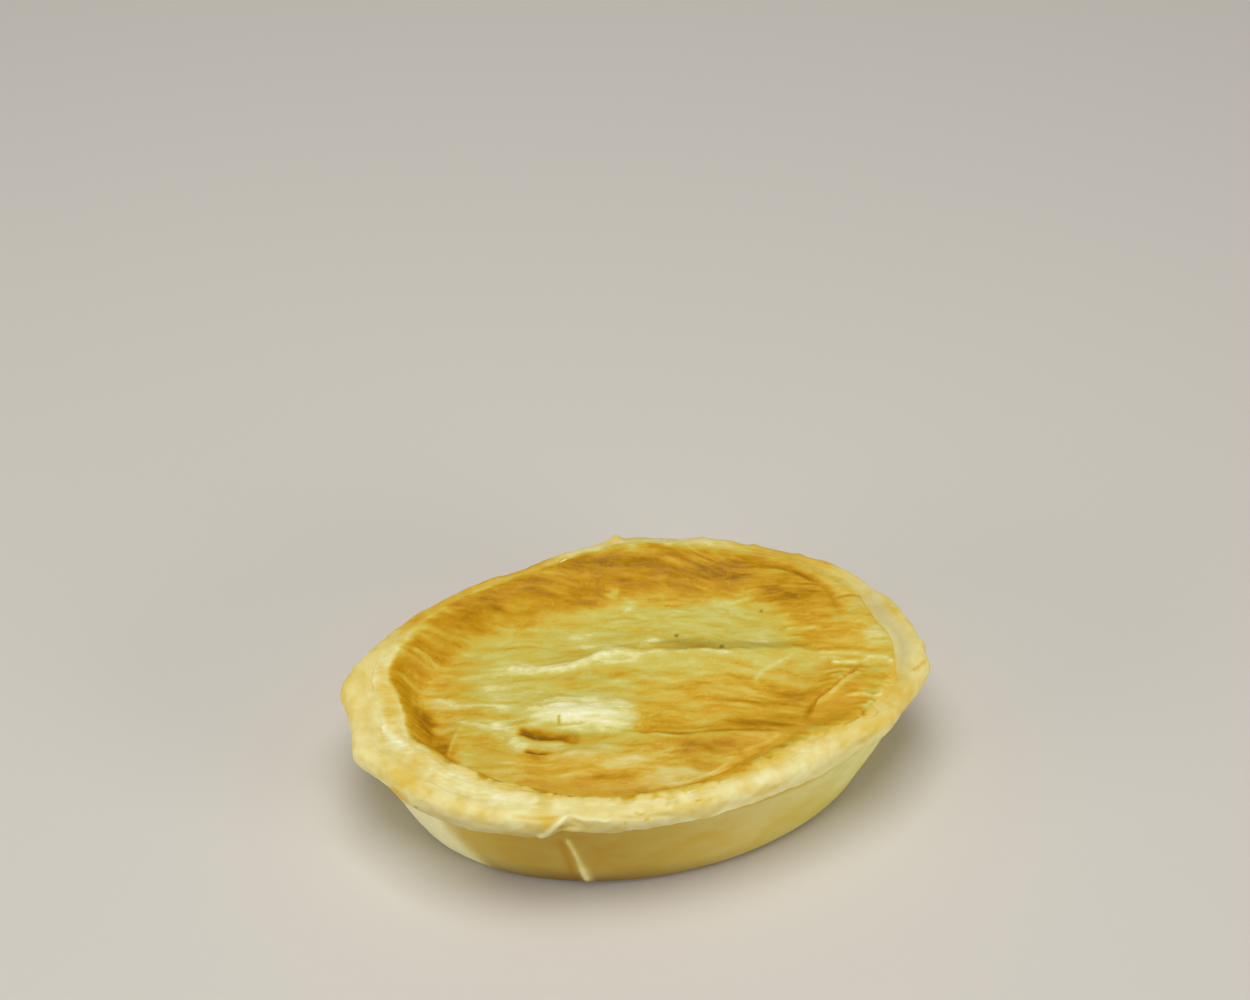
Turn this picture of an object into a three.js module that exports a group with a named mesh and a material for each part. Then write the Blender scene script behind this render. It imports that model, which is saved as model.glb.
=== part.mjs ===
// An oval single-serve meat pie: a shortcrust case with a rolled rim, and a puff pastry lid
// that has sunk in the middle and lies on the inner half of the rim.
// Millimetres, +Z up, +X along the pie, origin in the middle of the flat base.
import * as THREE from "three";

// Size of the whole pie
const halfLength = 70.4; // middle to the rim's outer edge, along X
const halfWidth = 44.0; // middle to the rim's outer edge, along Y
const rimHeight = { right: 30.6, back: 31.6, left: 30.4, front: 30.4 }; // top of the rim above the table

// Case
const baseInset = { right: 11.5, back: 6.2, left: 12.6, front: 4.9 }; // base inside the rim's oval
const baseRound = 2.2; // rounding between base and wall
const wallBulge = 0.7; // how far the wall swells half way up
const wallTop = 23.2; // height at which the wall goes under the lip
const lipHeight = 24.6; // lower edge of the rim's lip
const lipTurn = 0.5; // how far the lip's lower edge turns in
const lipReach = { right: 2.4, back: 1.9, left: 5.2, front: 1.9 }; // rim's oval past the wall's top
const shoulderRound = 3.4; // rounding of the rim's outer shoulder

// Gentle waves round the pie: height in millimetres, how many, and where the first starts in radians
const rimWaves = [{ height: 0.35, count: 5, start: 0.8 }, { height: 0.25, count: 9, start: 2.1 }];
const lipWaves = [{ height: 0.3, count: 6, start: 0 }];
const lidEdgeWaves = [{ height: 0.4, count: 7, start: 1.1 }, { height: 0.3, count: 13, start: 0 }];
const looseFlaps = { height: 0.9, count: 16, start: 0, at: -16, spread: 18 }; // of the lid's edge, right end

// Rim and recess, measured along the radius
const rimWidth = { right: 12.5, back: 5.0, left: 12.8, front: 6.2 };
const innerSlope = { right: 17.0, back: 15.0, left: 7.0, front: 5.0 };
const rimSwells = [
  { at: -143, spread: 11, out: 3.0 },
  { at: -127, spread: 9, out: 2.2 },
  { at: -42, spread: 8, out: -2.4 },
  { at: 20, spread: 16, out: 2.2 },
  { at: 138, spread: 20, out: -3.2 },
]; // where the rim is wider or narrower than its sides say: degrees, degrees, millimetres
const lidEdgeShare = 0.5; // the lid's edge lies this far across the rim
const lidEdgeRetreats = [{ at: -5, spread: 17, out: 2.6 }]; // where it lies further in, as above

// Lid
const lidThickness = 2.2;
const lidEdgeRound = 0.5; // rounding of the lid's cut edge
const edgeLift = { right: 1.0, back: 0.5, left: 0.15, front: 0.3 }; // lid's edge above the flange
const seat = 0.3; // clearance between lid and case
const floorHeight = 25.2; // lid's surface in the middle of the recess
const floorRise = { along: 0.046, across: 0.02 }; // slope of the sunken lid, per millimetre

// Corners, flats and dents of the hand-trimmed rim: place and spread in degrees, out in millimetres
const trimmedPlaces = [
  { at: 159, spread: 10, out: 2.7 },
  { at: 176, spread: 9, out: -1.1 },
  { at: -170, spread: 5, out: 0.9 },
  { at: -160, spread: 7, out: -1.2 },
  { at: -133, spread: 19, out: 1.2 },
  { at: -63, spread: 19, out: -1.2 },
  { at: -42, spread: 6, out: 1.6 },
  { at: -18, spread: 11, out: 2.0 },
  { at: 25, spread: 24, out: -0.7 },
  { at: 82, spread: 13, out: 1.3 },
  { at: 106, spread: 6, out: -0.8 },
  { at: 136, spread: 12, out: 1.0 },
];

// Where the rim stands higher than its sides say
const rimRises = [{ at: 80, spread: 13, out: 1.0 }, { at: 148, spread: 12, out: 0.6 }];

// Folds of the case: a pleat that slants down the wall, a corner, and the turned lip above the pleat
const pleat = { top: -112.5, foot: -108.5, spread: 2.6, out: 1.1 };
const cornerFold = { top: -139, foot: -147, spread: 5, out: 1.2 };
const foldFootFade = 0.25; // the wall's folds start over this share of its height
const foldTopShare = 0.5; // and are this share as deep under the lip
const lipTip = { at: -119, spread: 4.5, down: 1.2 };
const lipTuck = { at: -113, spread: 3.2, up: 1.7 };

// Relief of the lid: lines pressed up or sunk, as few points as their bends need
const reliefLines = [
  {
    name: "long ridge", height: 1.7, spread: 3.0,
    through: [[-28, 13.5], [-14.5, 9.2], [-3, 11.2], [11, 7], [31, 0.8], [52, -7.2]],
  },
  {
    name: "front step", height: 1.3, spread: 2.6,
    through: [[-3.7, -15], [5, -19.4], [13.2, -20.5], [24.3, -23], [33, -26]],
  },
  {
    name: "right fold", height: 1.6, spread: 2.6,
    through: [[52, -17], [45, -19], [38.4, -21.2], [32, -25.7]],
  },
  {
    name: "left crease", height: 0.9, spread: 2.2,
    through: [[-42.5, 0.5], [-45.7, -5.1], [-48.5, -10]],
  },
  {
    name: "vent slit", height: -1.3, spread: 1.8,
    through: [[-30, -7.6], [-25, -10.1], [-19.9, -13.2], [-11.4, -14.6]],
  },
  {
    name: "second slit", height: -1.1, spread: 1.7,
    through: [[-31, -12.5], [-27.4, -13.8], [-22.5, -17]],
  },
  {
    name: "front crease", height: -0.9, spread: 2.0,
    through: [[-30, -23.5], [-12.2, -31.5], [-1.6, -32.3], [7.5, -30.6], [17.5, -31.5]],
  },
  {
    name: "rim crease", height: -1.0, spread: 1.9,
    through: [[39, 29.6], [47.3, 20.1], [51.7, 14.7], [52.5, 7.7], [51.4, 1]],
  },
];
const mounds = [
  { name: "pale mound", at: [-15.5, -6.5], reach: [15, 6.6], turn: -22, height: 2.5 },
  { name: "slit lip", at: [-22, -15], reach: [9, 2.4], turn: -24, height: 0.9 },
  { name: "right flat", at: [42, 2], reach: [16, 12], turn: -18, height: 0.9 },
];
const lineSamples = 48; // points along a relief line to measure from
const lineFade = 0.18; // share of a line over which it dies out at each end
const edgeFade = 4.5; // the relief dies out over this distance towards the lid's edge

// Fineness of the lofts
const pointsAround = 100;
const floorRings = 18; // rings of the lid's top from the foot of the slope to the middle
const hiddenRings = 4; // the same on the hidden underside

const radians = THREE.MathUtils.degToRad;
const mix = THREE.MathUtils.lerp;
const ease = (value) => THREE.MathUtils.smoothstep(value, 0, 1);
const bell = (distance) => Math.exp(-distance * distance);

// Degrees from one bearing to another, the short way round
function bearingGap(angle, bearing) {
  return THREE.MathUtils.euclideanModulo(THREE.MathUtils.radToDeg(angle) - bearing + 180, 360) - 180;
}

// A size that differs between the four sides, blended smoothly round the pie
function bySide(sizes, angle) {
  const along = Math.cos(angle);
  const across = Math.sin(angle);
  const end = along > 0 ? sizes.right : sizes.left;
  const side = across > 0 ? sizes.back : sizes.front;
  return end * along * along + side * across * across;
}

// The sum of swells and dents at a bearing
function swellAt(places, angle) {
  return places.reduce((sum, place) => sum + place.out * bell(bearingGap(angle, place.at) / place.spread), 0);
}

// The sum of waves at a bearing
function wavesAt(waves, angle) {
  return waves.reduce((sum, wave) => sum + wave.height * Math.sin(wave.count * angle + wave.start), 0);
}

// The oval that the tin gives the case
function tinOval(angle) {
  return new THREE.Vector2(halfLength * Math.cos(angle), halfWidth * Math.sin(angle));
}

// Rim outline: the oval, moved out or in square to itself at the trimmed places
function trimmedOval(angle) {
  const outward = new THREE.Vector2(halfWidth * Math.cos(angle), halfLength * Math.sin(angle)).normalize();
  return tinOval(angle).addScaledVector(outward, swellAt(trimmedPlaces, angle));
}

const angles = Array.from({ length: pointsAround }, (_, index) => (2 * Math.PI * index) / pointsAround);
const outlineMiddle = new THREE.Box2().setFromPoints(angles.map(trimmedOval)).getCenter(new THREE.Vector2());

// The rim's outer edge about the middle of the pie
function rimEdge(angle) {
  return trimmedOval(angle).sub(outlineMiddle);
}

// The tin's wall, a given distance inside the untrimmed oval
function inFromTin(angle, inset) {
  const edge = tinOval(angle).sub(outlineMiddle);
  return edge.setLength(edge.length() - inset);
}

// The place that lies a given distance in from the rim's outer edge
function inFromEdge(angle, inset) {
  const edge = rimEdge(angle);
  return edge.setLength(edge.length() - inset);
}

// Height of the rim's rolled top: rounded shoulder outside, gentle waves along it
function rimSurface(angle, inset) {
  const overShoulder = Math.max(0, shoulderRound - inset);
  const drop = shoulderRound - Math.sqrt(shoulderRound * shoulderRound - overShoulder * overShoulder);
  return bySide(rimHeight, angle) + swellAt(rimRises, angle) + wavesAt(rimWaves, angle) - drop;
}

// A relief line ready to measure from
function traced(line) {
  const curve = new THREE.SplineCurve(line.through.map(([x, y]) => new THREE.Vector2(x, y)));
  return { ...line, spots: curve.getSpacedPoints(lineSamples) };
}

const tracedLines = reliefLines.map(traced);

function lineRelief(line, place) {
  const gaps = line.spots.map((spot) => spot.distanceTo(place));
  const nearest = Math.min(...gaps);
  const along = gaps.indexOf(nearest) / lineSamples;
  const fade = ease(along / lineFade) * ease((1 - along) / lineFade);
  return line.height * fade * bell(nearest / line.spread);
}

function moundRelief(mound, place) {
  const away = place.clone().sub(new THREE.Vector2(...mound.at));
  away.rotateAround(new THREE.Vector2(), radians(-mound.turn));
  return mound.height * bell(Math.hypot(away.x / mound.reach[0], away.y / mound.reach[1]));
}

// Height of all relief at a place on the sunken lid
function relief(place) {
  const lines = tracedLines.reduce((sum, line) => sum + lineRelief(line, place), 0);
  return mounds.reduce((sum, mound) => sum + moundRelief(mound, place), lines);
}

// The brink of the recess, where the rim's top ends
function rimBrink(angle) {
  return bySide(rimWidth, angle) + swellAt(rimSwells, angle);
}

// How far a place has come from the rim, 0, down to the sunken floor, 1
function sunken(angle, inset) {
  return ease((inset - rimBrink(angle)) / bySide(innerSlope, angle));
}

// The lid's surface without its relief
function plainLid(angle, inset) {
  const place = inFromEdge(angle, inset);
  const floor = floorHeight + floorRise.along * place.x + floorRise.across * place.y;
  return mix(rimSurface(angle, inset), floor, sunken(angle, inset));
}

// The lid's surface as it shows
function lidSurface(angle, inset) {
  const lift = bySide(edgeLift, angle) * (1 - sunken(angle, inset));
  const reach = ease((inset - lidEdge(angle)) / edgeFade);
  return plainLid(angle, inset) + lift + reach * relief(inFromEdge(angle, inset));
}

// The lid's edge wanders a little, with a few loose waves at the right end
function lidEdge(angle) {
  const flaps = wavesAt([looseFlaps], angle) * bell(bearingGap(angle, looseFlaps.at) / looseFlaps.spread);
  const retreat = swellAt(lidEdgeRetreats, angle);
  return rimBrink(angle) * lidEdgeShare + retreat + wavesAt(lidEdgeWaves, angle) + flaps;
}

// Even steps from the foot of the slope towards the middle
function inwardSteps(foot, middle, count) {
  return Array.from({ length: count }, (_, ring) => mix(foot, middle, ring / count));
}

// Insets of the lid's top rings, from its edge to the last ring before the middle
function topInsets(angle) {
  const edge = lidEdge(angle);
  const brink = rimBrink(angle);
  const foot = brink + bySide(innerSlope, angle);
  const middle = rimEdge(angle).length();
  const onRim = [edge + lidEdgeRound, mix(edge, brink, 0.4), mix(edge, brink, 0.8)];
  const onSlope = [0.12, 0.35, 0.6, 0.85].map((share) => mix(brink, foot, share));
  const onFloor = inwardSteps(foot, middle, floorRings);
  return [...onRim, ...onSlope, ...onFloor];
}

// Insets of the hidden rings that lid and case share, from the lid's edge inwards
function hiddenInsets(angle) {
  const edge = lidEdge(angle);
  const brink = rimBrink(angle);
  const foot = brink + bySide(innerSlope, angle);
  const middle = rimEdge(angle).length();
  const onSlope = [0, 0.35, 0.7].map((share) => mix(brink, foot, share));
  const onFloor = inwardSteps(foot, middle, hiddenRings);
  return [edge, mix(edge, brink, 0.5), ...onSlope, ...onFloor];
}

// Out by the folds of the wall, which slant from the lip to the foot
function wallFolds(angle, share) {
  const fold = ({ top, foot, spread, out }) => {
    return out * bell(bearingGap(angle, mix(foot, top, share)) / spread);
  };
  const fadeIn = ease(share / foldFootFade);
  return (fold(pleat) + fold(cornerFold)) * fadeIn * mix(1, foldTopShare, share);
}

// Height of the lip's lower edge, with its turned tip and the tuck beside it
function lipEdge(angle) {
  const tip = lipTip.down * bell(bearingGap(angle, lipTip.at) / lipTip.spread);
  const tuck = lipTuck.up * bell(bearingGap(angle, lipTuck.at) / lipTuck.spread);
  return lipHeight + wavesAt(lipWaves, angle) - tip + tuck;
}

// A corner of a solid, over a place in plan
function raised(place, height) {
  return new THREE.Vector3(place.x, place.y, height);
}

// A corner of a solid, in from the rim's edge and at a height
function solidPoint(angle, inset, height) {
  return raised(inFromEdge(angle, inset), height);
}

// A wall ring, at a share of the way up from the base to the lip
function wallRing(share) {
  return (angle) => {
    const bulge = wallBulge * Math.sin(Math.PI * share) + wallFolds(angle, share);
    const height = mix(baseRound, wallTop, share);
    const draft = mix(bySide(baseInset, angle), bySide(lipReach, angle), share);
    return raised(inFromTin(angle, draft - bulge), height);
  };
}

// Rings of the case's outside, from the base's edge to the flange beside the lid
function caseOutside() {
  const flat = [0.4, 0.8].map((share) => (angle) => {
    return raised(inFromTin(angle, bySide(baseInset, angle)).multiplyScalar(share), 0);
  });
  const rounding = [0, 0.5].map((share) => (angle) => {
    const quarter = (share * Math.PI) / 2;
    const inset = bySide(baseInset, angle) + baseRound * (1 - Math.sin(quarter));
    return raised(inFromTin(angle, inset), baseRound * (1 - Math.cos(quarter)));
  });
  const wall = [0, 0.2, 0.4, 0.6, 0.8, 1].map(wallRing);
  const lip = [
    (angle) => solidPoint(angle, lipTurn, lipEdge(angle)),
    (angle) => solidPoint(angle, 0, mix(lipEdge(angle), rimSurface(angle, lipTurn), 0.5)),
  ];
  const flange = [0.14, 0.37, 0.7].map((share) => (angle) => {
    const inset = mix(0, lidEdge(angle) - seat, share);
    return solidPoint(angle, inset, rimSurface(angle, inset));
  });
  const brim = (angle) => solidPoint(angle, lidEdge(angle) - seat, rimSurface(angle, lidEdge(angle)));
  return [...flat, ...rounding, ...wall, ...lip, ...flange, brim];
}

// Rings of the hidden surface between case and lid, from the lid's edge inwards, at a clearance
function hiddenSurface(clearance, edgeInset) {
  const count = hiddenInsets(0).length;
  return Array.from({ length: count }, (_, ring) => (angle) => {
    const inset = hiddenInsets(angle)[ring];
    const height = plainLid(angle, inset) - lidThickness + clearance;
    return solidPoint(angle, ring === 0 ? inset - edgeInset : inset, height);
  });
}

// Rings of the lid's top, from its rounded edge to the middle
function lidTop() {
  const side = (angle) => solidPoint(angle, lidEdge(angle), rimSurface(angle, lidEdge(angle)) - lidEdgeRound);
  const top = Array.from({ length: topInsets(0).length }, (_, ring) => (angle) => {
    const inset = topInsets(angle)[ring];
    return solidPoint(angle, inset, lidSurface(angle, inset));
  });
  return [side, ...top];
}

// A closed solid over rings that run from a bottom middle point, out and up, to a top middle point.
// Each four-cornered patch is halved along its more level diagonal, so that ridges stay smooth.
function loft(bottomHeight, rings, topHeight) {
  const corners = [new THREE.Vector3(0, 0, bottomHeight)];
  rings.forEach((ring) => angles.forEach((angle) => corners.push(ring(angle))));
  corners.push(new THREE.Vector3(0, 0, topHeight));
  const corner = (ring, step) => 1 + ring * pointsAround + (step % pointsAround);
  const climb = (from, to) => Math.abs(corners[from].z - corners[to].z);
  const faces = [];
  for (let step = 0; step < pointsAround; step += 1) {
    faces.push(0, corner(0, step + 1), corner(0, step));
    for (let ring = 0; ring < rings.length - 1; ring += 1) {
      const [here, next] = [corner(ring, step), corner(ring, step + 1)];
      const [above, nextAbove] = [corner(ring + 1, step), corner(ring + 1, step + 1)];
      if (climb(here, nextAbove) <= climb(next, above)) {
        faces.push(here, next, nextAbove, here, nextAbove, above);
      } else {
        faces.push(here, next, above, next, nextAbove, above);
      }
    }
    faces.push(corner(rings.length - 1, step), corner(rings.length - 1, step + 1), corners.length - 1);
  }
  const geometry = new THREE.BufferGeometry().setFromPoints(corners);
  geometry.setIndex(faces);
  geometry.computeVertexNormals();
  return geometry;
}

function pastryCase() {
  const rings = [...caseOutside(), ...hiddenSurface(0, seat)];
  const geometry = loft(0, rings, floorHeight - lidThickness);
  const shortcrust = new THREE.MeshStandardMaterial({ color: 0xe6d59a, roughness: 0.55, metalness: 0 });
  return Object.assign(new THREE.Mesh(geometry, shortcrust), { name: "pastry_case" });
}

function pastryLid() {
  const rings = [...hiddenSurface(seat, 0).reverse(), ...lidTop()];
  const middle = new THREE.Vector2(0, 0);
  const geometry = loft(floorHeight - lidThickness + seat, rings, floorHeight + relief(middle));
  const puffPastry = new THREE.MeshStandardMaterial({ color: 0xd8b04a, roughness: 0.4, metalness: 0 });
  return Object.assign(new THREE.Mesh(geometry, puffPastry), { name: "pastry_lid" });
}

const pie = new THREE.Group();
pie.name = "oval_pie";
pie.add(pastryCase(), pastryLid());

export default pie;
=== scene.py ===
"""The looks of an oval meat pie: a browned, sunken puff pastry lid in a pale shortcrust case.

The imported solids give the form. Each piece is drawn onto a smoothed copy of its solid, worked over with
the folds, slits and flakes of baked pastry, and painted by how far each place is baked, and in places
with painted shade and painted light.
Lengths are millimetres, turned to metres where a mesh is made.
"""

import logging
import math
from collections.abc import Iterator
from contextlib import contextmanager
from dataclasses import dataclass
from enum import Enum

import bpy
import numpy as np
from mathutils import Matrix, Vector, noise


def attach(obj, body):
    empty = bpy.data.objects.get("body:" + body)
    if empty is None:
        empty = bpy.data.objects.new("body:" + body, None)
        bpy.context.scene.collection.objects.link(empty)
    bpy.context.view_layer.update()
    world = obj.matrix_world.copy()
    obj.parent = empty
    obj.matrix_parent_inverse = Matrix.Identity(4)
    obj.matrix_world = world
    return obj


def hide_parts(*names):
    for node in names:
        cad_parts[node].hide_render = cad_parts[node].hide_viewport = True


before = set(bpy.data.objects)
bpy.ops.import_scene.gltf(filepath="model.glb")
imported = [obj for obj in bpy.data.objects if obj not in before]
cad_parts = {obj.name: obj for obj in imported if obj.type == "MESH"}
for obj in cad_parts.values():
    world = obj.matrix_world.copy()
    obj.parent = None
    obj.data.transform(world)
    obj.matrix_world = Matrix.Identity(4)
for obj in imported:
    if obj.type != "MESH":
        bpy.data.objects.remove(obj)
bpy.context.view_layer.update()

log = logging.getLogger("oval_pie")
MM = 0.001
STREAKS = math.radians(-14.6)  # the way the lid's dough was rolled, from +X
RIM_HALF = (70.4, 44.0)  # half length and half width of the rim's oval
CLEAR_ABOVE = 60.0  # a height above the whole pie, from which places are dropped onto it
SEED_STEP = np.array([7.31, 3.17, 1.93])  # how far one seed's noise is from the next
SPOTS_BETWEEN = 12  # close points from one given point of a line to the next
BATCH = 20000  # places measured at once
MARK_STRENGTH = 0.95  # how strongly marks show on the whole, before roughness breaks them up

Point = tuple[float, float]
Place = tuple[float, float, float]
Colour = tuple[int, int, int]
Bakes = tuple[tuple[float, Colour], ...]
Values = np.ndarray
Piece = bpy.types.Object
Nodes = bpy.types.NodeTree
Socket = bpy.types.NodeSocket


def select_only(piece: Piece) -> None:
    """Deselects everything, then selects one object and makes it active.

    Args:
        piece: the object.
    """
    bpy.ops.object.select_all(action="DESELECT")
    piece.select_set(True)
    bpy.context.view_layer.objects.active = piece


@contextmanager
def editing(piece: Piece) -> Iterator[None]:
    """Edit mode on one object, with nothing selected at first.

    Args:
        piece: the mesh object to edit.
    """
    select_only(piece)
    bpy.ops.object.mode_set(mode="EDIT")
    bpy.ops.mesh.select_mode(type="EDGE")
    bpy.ops.mesh.select_all(action="DESELECT")
    yield
    bpy.ops.object.mode_set(mode="OBJECT")


def extrude_scaled(growth: Point, rise: float = 0.0) -> None:
    """Extrudes the selected edges, then resizes them from the pie's middle.

    Args:
        growth: how much they grow along X and Y.
        rise: how far they go up.
    """
    bpy.ops.mesh.extrude_region_move(TRANSFORM_OT_translate={"value": (0, 0, rise * MM)})
    bpy.ops.transform.resize(value=(growth[0], growth[1], 1), center_override=(0, 0, 0))


def face_outwards() -> None:
    """Turns all faces of the edited mesh outwards."""
    bpy.ops.mesh.select_all(action="SELECT")
    bpy.ops.mesh.normals_make_consistent(inside=False)


def finish_with(piece: Piece, kind: str, **settings: object) -> None:
    """Adds one modifier to a piece and applies it.

    Args:
        piece: the mesh object.
        kind: the modifier's type, such as SUBSURF.
        settings: the modifier's values by name.
    """
    select_only(piece)
    modifier = piece.modifiers.new(kind.lower(), kind)
    for name, value in settings.items():
        setattr(modifier, name, value)
    bpy.ops.object.modifier_apply(modifier=modifier.name)


def ease(value: Values, start: float | Values, end: float | Values) -> Values:
    """A smooth climb from 0 at start to 1 at end.

    Args:
        value: the values to place on the climb.
        start: where it begins.
        end: where it is complete.

    Returns:
        The share climbed, for each value.
    """
    share = np.clip((value - start) / (end - start), 0.0, 1.0)
    return share * share * (3.0 - 2.0 * share)


def bell(distance: Values) -> Values:
    """A soft hump that is 1 at no distance and about a third at 1."""
    return np.exp(-distance * distance)


def mix(value: Values, other: float | Values, share: Values) -> Values:
    """Goes from value to other by a share."""
    return value + (other - value) * share


def evened(values: Values) -> Values:
    """Evens out values that lie in a closed round by their near neighbours."""
    weights = bell(np.arange(-3, 4) / 1.5)
    return np.convolve(np.pad(values, 3, mode="wrap"), weights / weights.sum(), mode="valid")


def turned(plan: Values, angle: float) -> Values:
    """Plan places measured along and across a direction.

    Args:
        plan: places, one row of x and y each.
        angle: the direction in radians from +X.

    Returns:
        The same places as distances along and across it.
    """
    c, s = math.cos(angle), math.sin(angle)
    return np.stack([plan[:, 0] * c + plan[:, 1] * s, plan[:, 1] * c - plan[:, 0] * s], 1)


def bearing_of(plan: Values) -> Values:
    """The oval bearing of plan places in degrees: 0 to the right, 90 to the back."""
    return np.degrees(np.arctan2(plan[:, 1] / RIM_HALF[1], plan[:, 0] / RIM_HALF[0]))


def bearing_gap(bearing: Values, other: float) -> Values:
    """Degrees from one bearing to another, the short way round."""
    return (bearing - other + 180.0) % 360.0 - 180.0


@dataclass(frozen=True)
class Grain:
    """Even noise, such as blotches, strands or lumps.

    Attributes:
        lump: the size of one lump along each of two or three axes.
        octaves: how many finer layers are added.
        seed: picks the pattern.
        amount: how much it changes a length or a baking.
    """

    lump: tuple[float, ...]
    octaves: int
    seed: float
    amount: float = 1.0

    def pattern(self, places: Values) -> Values:
        """The noise at places, whatever its amount.

        Args:
            places: rows of as many distances as a lump has sizes.

        Returns:
            One value for each place, between about -1 and 1.
        """
        scaled = places / np.array(self.lump)
        if scaled.shape[1] == 2:
            scaled = np.column_stack([scaled, np.zeros(len(scaled))])
        spots = (scaled + self.seed * SEED_STEP).tolist()
        return np.array([noise.fractal(spot, 1.0, 2.0, self.octaves) for spot in spots])

    def at(self, places: Values) -> Values:
        """The change at each place."""
        return self.amount * self.pattern(places)

    def ridges(self, places: Values) -> Values:
        """The change at each place, with a sharp ridge wherever the noise crosses 0."""
        return self.amount * (1.0 - 2.0 * np.abs(self.pattern(places)))


@dataclass(frozen=True)
class Sides:
    """A size that differs between the pie's four sides."""

    right: float
    back: float
    left: float
    front: float

    def at(self, bearing: Values) -> Values:
        """The size round the pie, blended smoothly from side to side.

        Args:
            bearing: oval bearings in degrees.

        Returns:
            One size for each.
        """
        along = np.cos(np.radians(bearing))
        across = np.sin(np.radians(bearing))
        end = np.where(along > 0, self.right, self.left)
        side = np.where(across > 0, self.back, self.front)
        return end * along**2 + side * across**2


@dataclass(frozen=True)
class Swell:
    """A stretch of the pie's round where a size is larger, or smaller, by some millimetres.

    Attributes:
        at: the oval bearing of its middle, in degrees.
        spread: how far it reaches to each side, in degrees.
        out: what it adds in its middle.
    """

    at: float
    spread: float
    out: float

    def amount(self, bearing: Values) -> Values:
        """What it adds at oval bearings in degrees."""
        return self.out * bell(bearing_gap(bearing, self.at) / self.spread)


class Profile(Enum):
    """The section across a worked line."""

    RIDGE = "even on both sides"
    LEFT_LEDGE = "stands up sharply on the line's left and falls away from it"
    RIGHT_LEDGE = "stands up sharply on the line's right and falls away from it"


@dataclass(frozen=True)
class Mark:
    """A line worked into the pastry: a ridge, a slit or the edge of a flake, with its own baking.

    Attributes:
        name: what it is.
        through: the few points that it runs through.
        height: how far it stands up, or below 0 sinks in.
        width: how far it reaches to each side.
        profile: its section.
        bake: how far baked its line is.
        cover: how strongly that shows, from 0 to 1.
        fade: the share of its length over which each end dies out.
        cliff: how wide the sharp side of a ledge is.
    """

    name: str
    through: tuple[Point, ...]
    height: float = 0.0
    width: float = 0.8
    profile: Profile = Profile.RIDGE
    bake: float = 0.3
    cover: float = 0.0
    fade: float = 0.2
    cliff: float = 0.22

    def spots(self) -> Values:
        """Close points along the smooth line through its few.

        Returns:
            Rows of two distances.
        """
        known = np.array(self.through, float)
        known = np.vstack([2 * known[0] - known[1], known, 2 * known[-1] - known[-2]])
        steps = np.linspace(0.0, 1.0, SPOTS_BETWEEN + 1)[:-1, None]
        parts = []
        for a, b, c, d in zip(known, known[1:], known[2:], known[3:]):
            bend = (2 * a - 5 * b + 4 * c - d) * steps**2 + (3 * b - 3 * c + d - a) * steps**3
            parts.append(b + 0.5 * ((c - a) * steps + bend))
        return np.vstack([*parts, known[-2:-1]])

    def measure(self, plan: Values) -> tuple[Values, Values]:
        """Where places lie beside the line.

        Args:
            plan: rows of two distances.

        Returns:
            The distance to the line, above 0 on its left, and the share of the line's strength there.
        """
        spots = self.spots()
        way = np.gradient(spots, axis=0)
        length = np.linalg.norm(way, axis=1)
        way = way / length[:, None]
        nearest = np.empty(len(plan), int)
        for start in range(0, len(plan), BATCH):
            part = plan[start:start + BATCH, None, :] - spots[None]
            nearest[start:start + BATCH] = np.argmin((part**2).sum(2), axis=1)
        gap = plan - spots[nearest]
        tangent = way[nearest]
        beside = tangent[:, 0] * gap[:, 1] - tangent[:, 1] * gap[:, 0]
        beyond = np.maximum(np.abs((tangent * gap).sum(1)) - length[nearest], 0.0)
        along = nearest / (len(spots) - 1)
        ends = ease(along, 0.0, self.fade) * ease(1.0 - along, 0.0, self.fade)
        return beside, ends * bell(beyond / self.width)

    def relief(self, plan: Values) -> Values:
        """How far the line lifts places.

        Args:
            plan: rows of two distances.

        Returns:
            One height for each place.
        """
        beside, strength = self.measure(plan)
        if self.profile is Profile.RIDGE:
            return self.height * strength * bell(beside / self.width)
        side = beside if self.profile is Profile.LEFT_LEDGE else -beside
        step = 1.0 / (1.0 + np.exp(-np.clip(side / self.cliff, -30, 30)))
        return self.height * strength * step * np.exp(-np.maximum(side, 0.0) / self.width)

    def tint(self, plan: Values, rough: Values) -> Values:
        """How strongly the line's own baking covers each place, broken up by a roughness about 1."""
        beside, strength = self.measure(plan)
        return np.clip(self.cover * strength * bell(beside / self.width) * rough, 0.0, 1.0)


@dataclass(frozen=True)
class Patch:
    """A soft oval area with its own baking.

    Attributes:
        name: what it is.
        at: its middle.
        reach: half its size along and across its turn.
        bake: how far it is baked, from 0, cream, to 1, dark.
        cover: how strongly that shows, from 0 to 1.
        turn: degrees from the streaks.
        crisp: 1 for a soft edge, more for a sharper one.
        feather: how far its edge follows the streaks, from 0 to 1.
        crisp_right: how sharp its right end is, where that differs.
    """

    name: str
    at: Point
    reach: Point
    bake: float
    cover: float = 0.85
    turn: float = 0.0
    crisp: float = 1.5
    feather: float = 1.0
    crisp_right: float | None = None

    def weight(self, plan: Values, feathers: Values) -> Values:
        """How strongly the patch covers places.

        Args:
            plan: rows of x and y.
            feathers: how far feathering moves each of them.

        Returns:
            One share for each place, from 0 to the patch's cover.
        """
        away = plan + self.feather * feathers - np.array(self.at)
        away = turned(away, STREAKS + math.radians(self.turn))
        square = (away[:, 0] / self.reach[0]) ** 2 + (away[:, 1] / self.reach[1]) ** 2
        right = ease(away[:, 0] / self.reach[0], 0.0, 0.6)
        crisp = mix(np.full(len(plan), self.crisp), self.crisp_right or self.crisp, right)
        return self.cover * np.exp(-np.power(square, crisp))


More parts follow.
